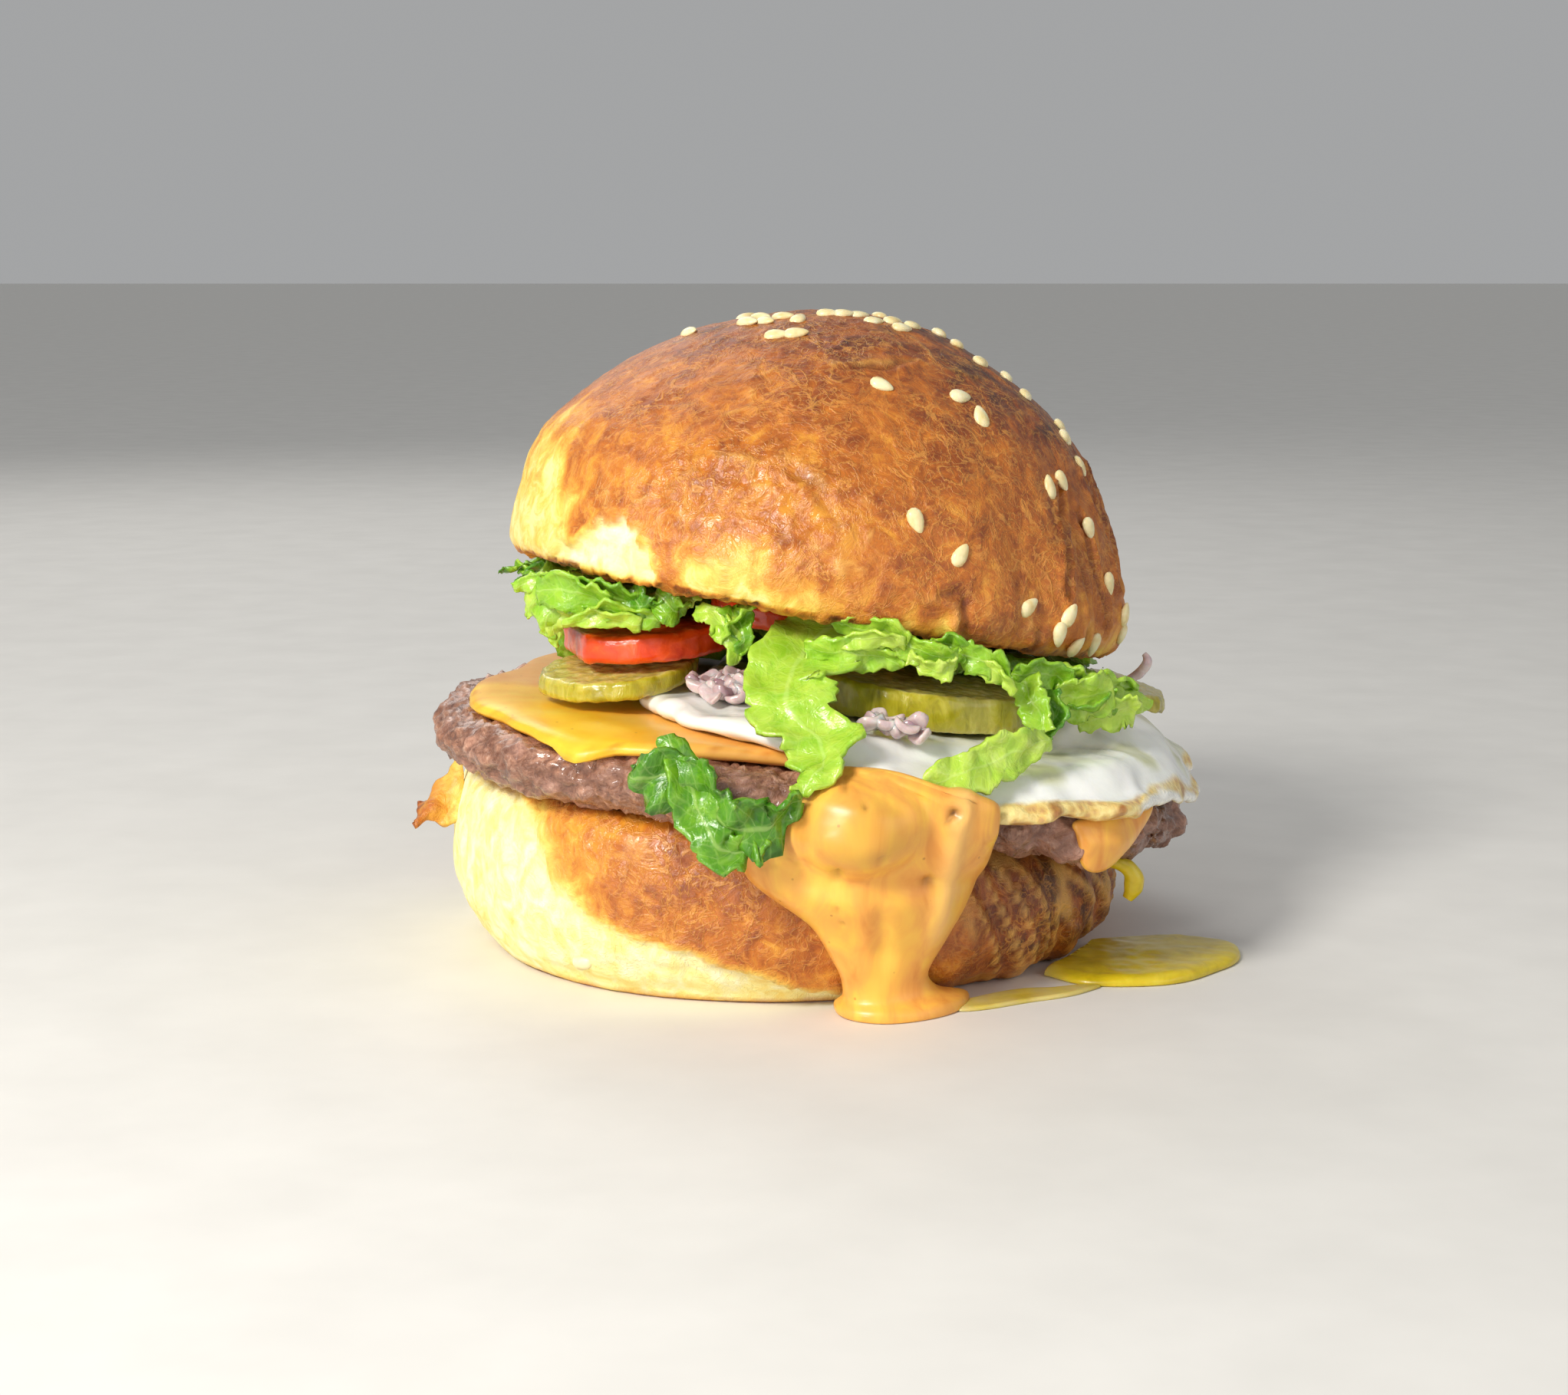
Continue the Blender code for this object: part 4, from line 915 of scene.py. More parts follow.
def make_cheese(look):
    def outline(angle):
        return reach_at(CHEESE_REACH, angle) * (1 + 0.008 * math.sin(13 * angle))

    def thickness(x, y):
        return 1.9 * MM
    cheese = draped("cheese_slice", dense(SHEET_ROWS, (50, 2.5), 1.4), 200, CHEESE_MIDDLE, outline,
                    thickness, ["patty"], 0.35)
    soften(cheese, 3)
    co = points_of(cheese)
    push(cheese, 0.25 * MM + 0.18 * MM * field(co, 7 * MM, 61))
    x, y = co[:, 0] / MM, co[:, 1] / MM
    film = ease(x + 0.35 * (y + 45) + 4 * field(co, 9 * MM, 62), -26, -8) * ease(-y, 20, 34)
    film = np.maximum(film, ease(y + 0.2 * x + 3 * field(co, 6 * MM, 63), -19, -11))
    paint(cheese, "film", film)
    edge = share_of(x, y, CHEESE_MIDDLE, lambda angle: reach_at(CHEESE_REACH, angle))
    paint(cheese, "hem", bell(edge, 0.965, 0.012) * ease(field(co, 2.2 * MM, 64), 0.0, 0.4))
    return dress(cheese, look, "cheese", "cheese")


def cheese_look():
    look = Look("melted_cheese", roughness=0.36, soft=(0.15, 1.5))
    tone = look.noise(6 * MM, 3, 0.5)
    plain = look.ramp(tone, [(0.3, (250, 186, 34)), (0.7, (255, 208, 62))])
    sauce = look.ramp(tone, [(0.3, (232, 160, 66)), (0.7, (242, 182, 92))])
    colour = look.mix(look.painted("film"), plain, sauce)
    colour = look.over("hem", 0.6, colour, (196, 110, 16))
    specks = look.eased(look.cells(3.2 * MM), 0.05, 0.09, 1.0, 0.0)
    colour = look.over(specks, 0.5, colour, (170, 92, 26))
    look.colour(colour)
    look.bump(look.noise(1.6 * MM, 3), 0.1 * MM, 0.35)
    return look


def egg_rise(x):
    """How far the egg's right side stands off what lies below."""
    return 3.0 * MM * min(1, max(0, (x - 30 * MM) / (22 * MM)))


def make_egg(look):
    def outline(angle):
        wave = 0.01 * math.sin(11 * angle) + 0.008 * math.sin(19 * angle + 1)
        return reach_at(EGG_REACH, angle) * (1 + wave)

    def thickness(x, y):
        away = math.hypot(x - 47 * MM, y + 10 * MM) / (17 * MM)
        dome = 5.0 * MM * max(0, 1 - away * away)
        wave = 0.5 * MM * relief(Vector((x, y, 0)), 9 * MM, 21)
        over, up = x - EGG_MIDDLE[0] * MM, y - EGG_MIDDLE[1] * MM
        part = math.hypot(over, up) / outline(math.atan2(up, over))
        thin = 1 - 0.4 * min(1, max(0, (part - 0.88) / 0.1)) * (x > 24 * MM)
        return (3.0 * MM + dome + wave) * thin + 0.3 * egg_rise(x)
    egg = draped("egg_white", dense(SHEET_ROWS, (50, 4), 0.9), 330, EGG_MIDDLE, outline, thickness,
                 ["patty", "cheese"], 0.1, egg_rise)
    soften(egg, 4)
    co = points_of(egg)
    x, y = co[:, 0] / MM, co[:, 1] / MM
    share = share_of(x, y, EGG_MIDDLE, outline)
    frill = ease(share + 0.012 * field(co, 6 * MM, 79), 0.945, 0.98) * ease(x, 22, 30)
    bubble = grains(co, 2.8 * MM, 71)[0]
    rough = 0.5 * (0.6 - bubble) + 0.3 * field(co, 5 * MM, 73)
    lift = 0.2 * MM * field(co, 6 * MM, 72) + frill * MM * rough
    ripple = ease(share, 0.5, 0.8) * 0.4 * MM * ridges(co, 5.5 * MM, 74)
    push(egg, lift + ripple)
    paint(egg, "frill", frill)
    paint(egg, "brown", frill * ease(field(co, 3.2 * MM, 75) - 0.5 * (bubble - 0.5), 0.28, 0.52))
    paint(egg, "lip", frill * ease(share + 0.02 * field(co, 3 * MM, 77), 0.982, 0.995)
          * ease(field(co, 8 * MM, 78) + 0.02 * (x - 45), -0.1, 0.2))
    clear = ease(field(co, 9 * MM, 76), 0.05, 0.4) * ease(share, 0.35, 0.8)
    clear = np.maximum(clear, 1.3 * bell(x, 60.5, 3.2) * bell(y, -3, 9))
    clear = np.maximum(clear, bell(x, 33, 2.5) * bell(y, -34, 12))
    paint(egg, "clear", clear * ease(x, 18, 30) * (1 - frill))
    return dress(egg, look, "egg", "fried_egg")


def egg_look():
    look = Look("set_white", roughness=0.24, soft=(0.35, 2.5), coat=(0.3, 0.08),
                subsurface_radius=(1.0, 0.9, 0.7))
    tone = look.noise(7 * MM, 3, 0.5)
    white = look.ramp(tone, [(0.3, (244, 246, 238)), (0.7, (255, 254, 246))])
    watery = look.ramp(tone, [(0.3, (196, 196, 120)), (0.7, (222, 224, 178))])
    colour = look.over("clear", 0.75, white, watery)
    lace = look.cells(1.7 * MM)
    gold = look.ramp(lace, [(0.15, (206, 148, 30)), (0.4, (230, 186, 62)), (0.7, (246, 216, 120))])
    colour = look.mix(look.eased(look.painted("frill"), 0.2, 0.9, 0, 0.85), colour, gold)
    colour = look.over("brown", 0.75, colour, (158, 92, 26))
    colour = look.mix(look.painted("lip"), colour, (250, 248, 238))
    look.colour(colour)
    look.bump(look.noise(3.0 * MM, 3), 0.25 * MM, 0.4)
    look.bump(look.math("MULTIPLY", look.painted("frill"), look.noise(0.9 * MM, 3)), 0.5 * MM, 0.7)
    return look


# Slices of pickle and tomato: middle, radii and thickness in mm, fall along x and y, and the
# direction and share of the radius where a straight cut runs
SLICES = {
    "pickle_left": ((-24.5, -21, 43.8), (12.2, 13.0), 3.0, (0.1, 0.08), None),
    "pickle_right": ((21, -28, 42.6), (16.8, 14.5), 5.4, (-0.15, 0.0), None),
    "pickle_end": ((56.5, 1, 35.6), (6.4, 9.5), 2.6, (-0.3, 0.0), None),
    "tomato_left": ((-20.5, -14, 49.2), (13.6, 18.5), 4.3, (0.06, 0.0), (200, 0.88)),
    "tomato_right": ((-0.5, -21, 51.8), (9.6, 11.0), 3.4, (-0.26, -0.08), (-20, 0.8)),
}
SLICE_ROWS = [(0, 0), (0.6, 0), (0.95, 0), (1.0, 0.25), (1.0, 0.75), (0.95, 1.0), (0.6, 1.0),
              (0, 1.0)]


def make_slice(name, look):
    """A slice at the height where its solid lies."""
    centre, radii, thickness, fall, cut = SLICES[name]
    seed = len(name) + centre[0]

    def place(row, angle):
        share, lift = row
        size = 1 + 0.02 * math.sin(3 * angle + seed) + 0.012 * math.sin(8 * angle)
        if cut:
            facing = math.cos(angle - math.radians(cut[0]))
            if facing > 0:
                size = min(size, cut[1] / facing)
        x = radii[0] * size * share * math.cos(angle)
        y = radii[1] * size * share * math.sin(angle)
        z = centre[2] + fall[0] * x + fall[1] * y + (lift - 0.5) * thickness
        return Vector(((centre[0] + x) * MM, (centre[1] + y) * MM, z * MM))
    rows = dense(SLICE_ROWS, (radii[0], thickness), 0.5)
    slice_obj = ring_body(name + "_slice", rows, 150, place)
    co = points_of(slice_obj)
    low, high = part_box(name)
    co[:, 2] += (low.z + high.z) / 2 - (co[:, 2].min() + co[:, 2].max()) / 2
    put_points(slice_obj, co)
    flesh = np.hypot((co[:, 0] / MM - centre[0]) / radii[0], (co[:, 1] / MM - centre[1]) / radii[1])
    rough = 0.28 * field(co, 2.2 * MM, 81) + 0.16 * field(co, 1.0 * MM, 82, (1, 1, 0.4))
    push(slice_obj, rough * MM)
    paint(slice_obj, "wall", ease(flesh, 0.93, 0.99))
    return dress(slice_obj, look, name.split("_")[0], name)


def pickle_look():
    look = Look("pickle_flesh", roughness=0.22, coat=(0.4, 0.08), soft=(0.2, 2))
    upright = look.stretched(1, 1, 0.45)
    tone = look.noise(2.0 * MM, 5, 0.6, 0.6, upright)
    flesh = look.ramp(tone, [(0.28, (190, 178, 64)), (0.5, (214, 202, 104)),
                             (0.72, (232, 224, 152))])
    skin = look.ramp(tone, [(0.25, (140, 130, 14)), (0.5, (180, 168, 36)), (0.75, (212, 200, 86))])
    look.colour(look.mix(look.painted("wall"), flesh, skin))
    look.bump(tone, 0.5 * MM, 0.6)
    return look


def tomato_look():
    look = Look("tomato_flesh", roughness=0.26, coat=(0.25, 0.1), soft=(0.15, 2),
                subsurface_radius=(1.0, 0.3, 0.15))
    tone = look.noise(2.4 * MM, 4, 0.6, 0.5)
    flesh = look.ramp(tone, [(0.3, (214, 70, 12)), (0.55, (234, 96, 24)), (0.8, (244, 148, 80))])
    skin = look.ramp(tone, [(0.3, (212, 56, 4)), (0.6, (232, 76, 10)), (0.85, (242, 118, 38))])
    look.colour(look.mix(look.painted("wall"), flesh, skin))
    look.bump(tone, 0.3 * MM, 0.5)
    return look


# Sesame: half its length, width and thickness in mm
SEED_SIZE = (1.95, 1.2, 0.72)


def seed_mesh(verts, faces, hit, normal, turn, scale):
    """One teardrop seed added to the lists, its middle in the crust's face."""
    stand = normal.to_track_quat("Z", "Y").to_matrix() @ Matrix.Rotation(turn, 3, "Z")
    length, width, height = SEED_SIZE

    def place(latitude, angle):
        along = math.sin(latitude)
        side = math.cos(latitude) * (1 - 0.30 * along)
        spot = Vector((along * length, side * math.cos(angle) * width,
                       side * math.sin(angle) * height))
        return hit + normal * 0.15 * MM + stand @ (spot * MM * scale)
    pebble(verts, faces, 7, 12, place)


def seed_look():
    look = Look("sesame_seed", roughness=0.32, soft=(0.15, 0.8))
    tone = look.noise(2.4 * MM, 2)
    look.colour(look.ramp(tone, [(0.3, (226, 202, 138)), (0.55, (242, 228, 178)),
                                 (0.8, (250, 242, 208))]))
    look.bump(look.noise(0.5 * MM, 2), 0.06 * MM, 0.4)
    return look


def make_seeds(look, crown, heel):
    """The seeds lie where the solid crown's seeds lie, and one more on the heel's front."""
    verts, faces = [], []
    dice = random.Random(3)
    for hit, normal, turn in seed_spots_on(crown):
        seed_mesh(verts, faces, hit, normal, turn, dice.uniform(0.94, 1.08))
    aim = Vector((-0.52, -0.78, -0.09)).normalized()
    hit, normal, _, _ = tree_of(heel).ray_cast(Vector((0, 0, 0.01)), aim)
    seed_mesh(verts, faces, hit, normal, 0.2, 1.0)
    seeds = new_object("sesame", verts, faces)
    return dress(seeds, look, "bun", "bun_top")


def seed_spots_on(crown):
    """Where each seed sits on the crown, the way it faces and its turn."""
    tree = tree_of(crown)
    stand = crown_matrix()
    spots = []
    for azimuth, tilt, turn in seed_aims():
        aim = stand.to_3x3() @ direction(azimuth, tilt)
        hit, normal, _, _ = tree.ray_cast(stand @ CROWN_HEART, aim)
        smooth = (0.3 * normal + 0.7 * aim).normalized()
        spots.append((hit, smooth, math.radians(turn)))
    return spots


# Seeds that show from the front: azimuth, elevation from the crown's heart, turn, in degrees
SHOWN_SEEDS = [
    (-139.3, 61, 20), (-127, 60.3, 90), (-120.6, 69.5, 0), (-123.6, 48.7, 12), (-117.2, 50.9, 14),
    (-85.9, 69.1, 0), (-61.8, 84, 30), (-68.6, 72.3, 0), (-67.8, 66.5, -12), (-50, 71.6, -20),
    (-17.3, 70.2, 10), (-26, 63.2, 0), (-30.5, 54.2, -10), (-16.5, 49.8, 5), (-20.6, 42.8, 0),
    (-84.3, 35.1, -30), (-60.6, 37, -4), (-56.9, 31.4, 80), (-13.6, 33.3, -30), (-18.9, 30.1, -30),
    (-19.8, 23.2, -60), (-35.4, 18.9, -60), (-41.3, 16.9, 85), (-76.4, 5.2, -72), (-67.6, 0.7, 55),
    (-28.6, 9.7, -70), (-24.8, -0.5, -75), (-51.6, -6.2, 32), (-42.3, -6.4, 55), (-43.6, -9.9, -85),
    (-37.5, -11.6, 48), (-30.5, -11.2, -85), (-20, -5.2, 70), (-18, -8.9, -60), (-163.5, 43, 15),
    (-145.8, 52.9, 5), (-150.2, 58, 10), (-139.5, 55.6, 0), (-110.6, 71.8, 5), (-99.3, 75, 0),
]
SEED_COUNT = 56


def seed_aims():
    """The shown seeds, then the others over the top and down the back, spread by a seeded rule."""
    dice = random.Random(41)
    aims = list(SHOWN_SEEDS)
    heads = [Vector(p) for p in aimed([(a, e) for a, e, _ in aims])]
    while len(aims) < SEED_COUNT:
        azimuth = dice.uniform(-12, 190)
        tilt = 84 - 80 * dice.random() ** 0.8
        head = Vector(aimed([(azimuth, tilt)])[0])
        wanted = dice.random() < 0.25 + 0.75 * tilt / 84
        if wanted and all((head - other).length > 5.5 * MM for other in heads):
            heads.append(head)
            aims.append((azimuth, tilt, dice.uniform(0, 180)))
    return aims


# Sauce: height, left end, right end and depth in mm
SAUCE_ROWS = [(0, 18, 18, 4), (0, 8.0, 28.8, 9.0), (1.2, 8.2, 28.2, 8.2), (2.6, 9.8, 23.4, 5.6),
              (5.5, 9.4, 21.4, 4.4), (9.5, 7.6, 23.4, 4.2), (14, 5.0, 26.2, 4.6),
              (18, -0.5, 28.2, 5.2), (21.5, -4.6, 29.6, 3.4), (25, -5.2, 30.6, 3.0),
              (28.5, -2.5, 31.2, 2.8), (32, 1.8, 31.4, 2.6), (35, 4.0, 22.5, 2.2),
              (37, 7.0, 16.5, 1.6), (37.6, 11, 11, 0.8)]
SIDE_SAUCE_ROWS = [(19.4, 47.0, 47.0, 1), (20.0, 45.4, 49.0, 1.8), (21.4, 44.4, 51.0, 2.4),
                   (23.2, 44.0, 53.4, 2.5), (25.2, 43.8, 55.5, 2.3), (27.0, 43.0, 57.0, 1.8),
                   (27.8, 49, 49, 0.8)]
# The bulb of the front run: x, z, half its width and half its height in mm
BULB = (11.4, 29.8, 9.6, 6.8)
# Small pits in the sauce: x, z, radius, depth in mm
PITS = [(24.9, 31.6, 0.9, 1.6), (12.2, 33.4, 0.45, 0.6), (24.0, 30.6, 0.5, 0.6),
        (8.4, 23.8, 0.8, 0.7), (8.2, 22.4, 0.5, 0.5), (21.2, 21.4, 0.9, 0.7),
        (8.4, 17.8, 0.5, 0.4), (9.2, 15.6, 0.35, 0.4), (9.5, 35.5, 0.5, 0.5),
        (14.5, 26.3, 0.5, 0.5)]


def hanging(name, rows, around, trees, bump, probe):
    """A thick run down the front of the stack; bump swells it, probe tells where it leans."""
    def place(row, angle):
        height, left, right, depth = (value * MM for value in row)
        x = (left + right) / 2 + (right - left) / 2 * math.cos(angle)
        z = probe(x, height)
        back = front_of(trees, x, z, 2.6 * MM)
        while back is None:
            z -= MM
            back = front_of(trees, x, z, 2.6 * MM)
        out = max(0, -math.sin(angle)) ** 0.75
        fill = back - curtain(trees, x, z, back)
        return Vector((x, back - 1.5 * GAP - out * (depth + fill + bump(x, height)), height))
    return ring_body(name, rows, around, place)


def curtain(trees, x, z, back):
    """Where a run hangs that leaves an edge above and comes back to the wall further down."""
    for step in range(1, 16):
        edge = front_of(trees, x, z + step * MM, 2.6 * MM)
        if edge is not None:
            back = min(back, edge + step * MM * 0.4)
    return back


def make_sauce(look):
    def bump(x, z):
        away = math.hypot((x - BULB[0] * MM) / (BULB[2] * MM), (z - BULB[1] * MM) / (BULB[3] * MM))
        return 4.2 * MM * math.sqrt(max(0, 1 - away * away))

    def probe(x, z):
        return z
    trees = trees_of("bun_bottom", "patty", "cheese", "fried_egg")
    rows = dense(SAUCE_ROWS, (1, 0.3, 0.3, 0.6), 0.55)
    sauce = hanging("sauce_run", rows, 170, trees, bump, probe)
    soften(sauce, 9)
    co = points_of(sauce)
    x, z = co[:, 0] / MM, co[:, 2] / MM
    lift = 0.22 * field(co, 7 * MM, 91, (1, 1, 0.4)) + 0.3
    ropes = bell(x, 25.5 - 0.17 * (30 - z), 1.6) * ease(z, 8, 14)
    lift += 0.7 * ropes
    lift -= 0.5 * bell(x, 14.5 + 0.05 * (20 - z), 1.4) * ease(z, 4, 9) * ease(-z, -22, -15)
    # Painted shade in the pits
    holes = np.zeros(len(co))
    for px, pz, radius, depth in PITS:
        away = np.hypot(x - px, z - pz) / radius
        lift -= depth * bell(away, 0, 1)
        holes = np.maximum(holes, bell(away, 0, 0.85) * min(1, depth))
    front = normals_of(sauce)[:, 1] < 0.2
    push(sauce, np.where(front, lift, 0.0) * MM * ease(z, 0.3, 1.5))
    lump = np.clip(1 - np.hypot((x - BULB[0]) / BULB[2], (z - BULB[1]) / BULB[3]), 0, 1)
    paint(sauce, "hole", holes)
    paint(sauce, "lump", ease(lump, 0.05, 0.5))
    paint(sauce, "rope", ropes)
    return dress(sauce, look, "sauce", "sauce_front")


def make_side_sauce(look):
    def bump(x, z):
        return 0

    def probe(x, z):
        return max(z, sag(x) + 3.5 * MM)
    rows = dense(SIDE_SAUCE_ROWS, (1, 0.5, 0.5, 0.5), 0.5)
    sauce = hanging("sauce_drip", rows, 90, trees_of("patty"), bump, probe)
    soften(sauce, 4)
    push(sauce, np.full(len(sauce.data.vertices), 0.3 * MM))
    for name in ("hole", "lump", "rope"):
        paint(sauce, name, np.zeros(len(sauce.data.vertices)))
    return dress(sauce, look, "sauce", "sauce_side")


def sauce_look():
    look = Look("burger_sauce", roughness=0.36, soft=(0.2, 2), coat=(0.1, 0.22),
                subsurface_radius=(1.0, 0.55, 0.2))
    run = look.stretched(1, 1, 0.28)
    streak = look.noise(4.5 * MM, 4, 0.55, 0.8, run)
    colour = look.ramp(streak, [(0.28, (226, 146, 60)), (0.45, (240, 170, 76)),
                                (0.6, (247, 188, 76)), (0.78, (250, 202, 84))])
    colour = look.over("lump", 0.55, colour, (206, 156, 60))
    colour = look.over("rope", 0.5, colour, (246, 208, 126))
    specks = look.eased(look.cells(4.0 * MM), 0.035, 0.07, 1.0, 0.0)
    colour = look.over(specks, 0.5, colour, (160, 84, 24))
    # Painted shade in the pits
    colour = look.over("hole", 0.8, colour, (120, 62, 20))
    look.colour(colour)
    look.bump(look.noise(3.0 * MM, 2), 0.15 * MM, 0.3)
    return look


# Yolk: pool, drip and the clear liquid beside it; rows are shares of the reach and of the depth
POOL_ROWS = [(0, 0), (0.6, 0), (0.95, 0), (1.0, 0.22), (0.985, 0.55), (0.94, 0.82), (0.84, 1.0),
             (0.4, 1.0), (0, 1.0)]

# How near to the burger's middle the pool comes
POOL_INNER = 52.5 * MM


def make_puddle(look):
    def place(row, angle):
        share, lift = row
        size = share * (1 + 0.12 * math.sin(3 * angle + 2) + 0.08 * math.sin(5 * angle))
        along = 12.5 * size * math.cos(angle)
        y = -45.5 + 0.42 * along + 3.2 * size * math.sin(angle)
        return Vector((36 + 0.9 * along, y, lift * 0.7)) * MM
    puddle = ring_body("clear_spill", dense(POOL_ROWS, (9, 0.7), 0.4), 160, place)
    co = points_of(puddle)
    paint(puddle, "milky", 0.45 + 0.5 * field(co, 3.5 * MM, 98))
    return dress(puddle, look, "yolk")


def make_pool(look):
    def place(row, angle):
        share, lift = row
        size = share * (1 + 0.06 * math.sin(3 * angle + 1) + 0.015 * math.sin(7 * angle))
        x = 18 * MM * size * math.cos(angle)
        y = 12.5 * MM * size * math.sin(angle)
        turned = Matrix.Rotation(math.radians(24), 3, "Z") @ Vector((x, y, 0))
        spot = Vector((55.5 * MM, -25.5 * MM, 0)) + turned
        if spot.length < POOL_INNER:
            spot *= POOL_INNER / spot.length
        return spot + Vector((0, 0, lift * 1.6 * MM))
    pool = ring_body("yolk_spill", dense(POOL_ROWS, (14, 1.6), 0.5), 200, place)
    co = points_of(pool)
    top = ease(co[:, 2] / MM, 0.3, 1.4)
    co[:, 2] += top * MM * (0.25 * field(co, 6 * MM, 95) + 0.1 * field(co, 2 * MM, 96))
    put_points(pool, co)
    paint(pool, "milky", ease(-(co[:, 0] / MM) + 3 * field(co, 5 * MM, 97), -44, -38) * 0.6)
    return dress(pool, look, "yolk", "yolk_pool")


# Strands: x, y, z and radius in mm
ONION_CURL = [(55.0, -9.5, 41.8, 0.7), (56.4, -10, 42.6, 0.8), (58.0, -10.5, 43.6, 0.9),
              (58.8, -10.5, 45.4, 0.8), (58.0, -10, 46.4, 0.5)]
YOLK_TONGUE = [(44.6, -27.4, 17.4, 0.9), (47.4, -29.6, 17.9, 0.9), (51.0, -30.6, 17.6, 0.9),
               (54.6, -30.4, 16.2, 1.3), (54.8, -30, 13.4, 1.8), (53.6, -30, 11.4, 0.8)]


def make_strand(name, look, slot, spots, replaced):
    curve = bpy.data.curves.new(name, "CURVE")
    curve.dimensions = "3D"
    curve.resolution_u = 10
    curve.bevel_depth = MM
    curve.bevel_resolution = 5
    curve.use_fill_caps = True
    line = curve.splines.new("NURBS")
    line.points.add(len(spots) - 1)
    line.use_endpoint_u = True
    for point, (x, y, z, radius) in zip(line.points, spots):
        point.co = (x * MM, y * MM, z * MM, 1)
        point.radius = radius
    carrier = add_object(name, curve)
    depsgraph = bpy.context.evaluated_depsgraph_get()
    mesh = bpy.data.meshes.new_from_object(carrier.evaluated_get(depsgraph))
    bpy.data.objects.remove(carrier, do_unlink=True)
    obj = add_object(name, mesh)
    smooth(mesh)
    mesh.materials.clear()
    co = points_of(obj)
    push(obj, 0.18 * MM * field(co, 1.5 * MM, 98))
    for layer in ("milky", "purple"):
        paint(obj, layer, np.zeros(len(co)))
    return dress(obj, look, slot, replaced)


def yolk_look():
    look = Look("runny_yolk", roughness=0.3, coat=(0.15, 0.12), soft=(0.2, 2))
    tone = look.noise(5 * MM, 4, 0.6, 0.5)
    colour = look.ramp(tone, [(0.3, (186, 162, 16)), (0.5, (210, 186, 28)), (0.75, (226, 204, 60))])
    look.colour(look.over("milky", 0.85, colour, (206, 192, 150)))
    look.bump(tone, 0.2 * MM, 0.3)
    return look


# Onion heaps: middle and radii in mm, number of bits
ONION_HEAPS = {
    "onion_left": ((-5.6, -34), (8.2, 5.4), 44),
    "onion_front": ((16.8, -50.0), (4.2, 3.0), 15),
}


def make_onion(name, look):
    """Minced onion heaped where its solid lies: thin angular shards in a watery heap."""
    centre, radii, count = ONION_HEAPS[name]
    trees = trees_of(name)
    dice = random.Random(5 + len(name))
    verts, faces, purple = [], [], []
    for number in range(count):
        angle = number * 2.4
        away = math.sqrt((number + 0.5) / count) * 0.98
        x = (centre[0] + radii[0] * away * math.cos(angle)) * MM
        y = (centre[1] + radii[1] * away * math.sin(angle)) * MM
        top = top_over(trees, x, y, 0.6 * MM)
        if top is None:
            continue
        size = [dice.uniform(*span) * MM for span in ((1.3, 2.4), (0.9, 1.6), (0.6, 1.0))]
        turn = Matrix.Identity(3)
        for reach, axis in ((None, "Z"), (0.9, "X"), (0.5, "Y")):
            angle = dice.uniform(-reach, reach) if reach else dice.uniform(0, 6)
            turn = turn @ Matrix.Rotation(angle, 3, axis)
        tint = dice.random() ** 3
        middle = Vector((x, y, top - dice.uniform(0.0, 0.9) * MM))

        def place(latitude, angle):
            flat = math.cos(latitude)
            ball = (flat * math.cos(angle), flat * math.sin(angle), math.sin(latitude))
            corner = [math.copysign(abs(v) ** 0.6, v) for v in ball]
            spot = Vector([s * c for s, c in zip(size, corner)])
            spot.z += 0.5 * spot.x * spot.x / MM * 0.4
            purple.append(tint * (0.4 + 0.6 * max(0, corner[1])))
            return middle + turn @ spot
        pebble(verts, faces, 10, 16, place)
    heap = new_object(name + "_mince", verts, faces)
    paint(heap, "purple", purple)
    return dress(heap, look, "onion", name)


def onion_look():
    look = Look("red_onion", roughness=0.16, coat=(0.5, 0.05), soft=(0.4, 1.5))
    tone = look.noise(1.8 * MM, 4, 0.6, 0.5)
    pale = look.ramp(tone, [(0.3, (190, 166, 168)), (0.55, (216, 196, 194)),
                            (0.8, (236, 224, 216))])
    look.colour(look.mix(look.painted("purple"), pale, (124, 46, 92)))
    look.bump(tone, 0.25 * MM, 0.35)
    return look


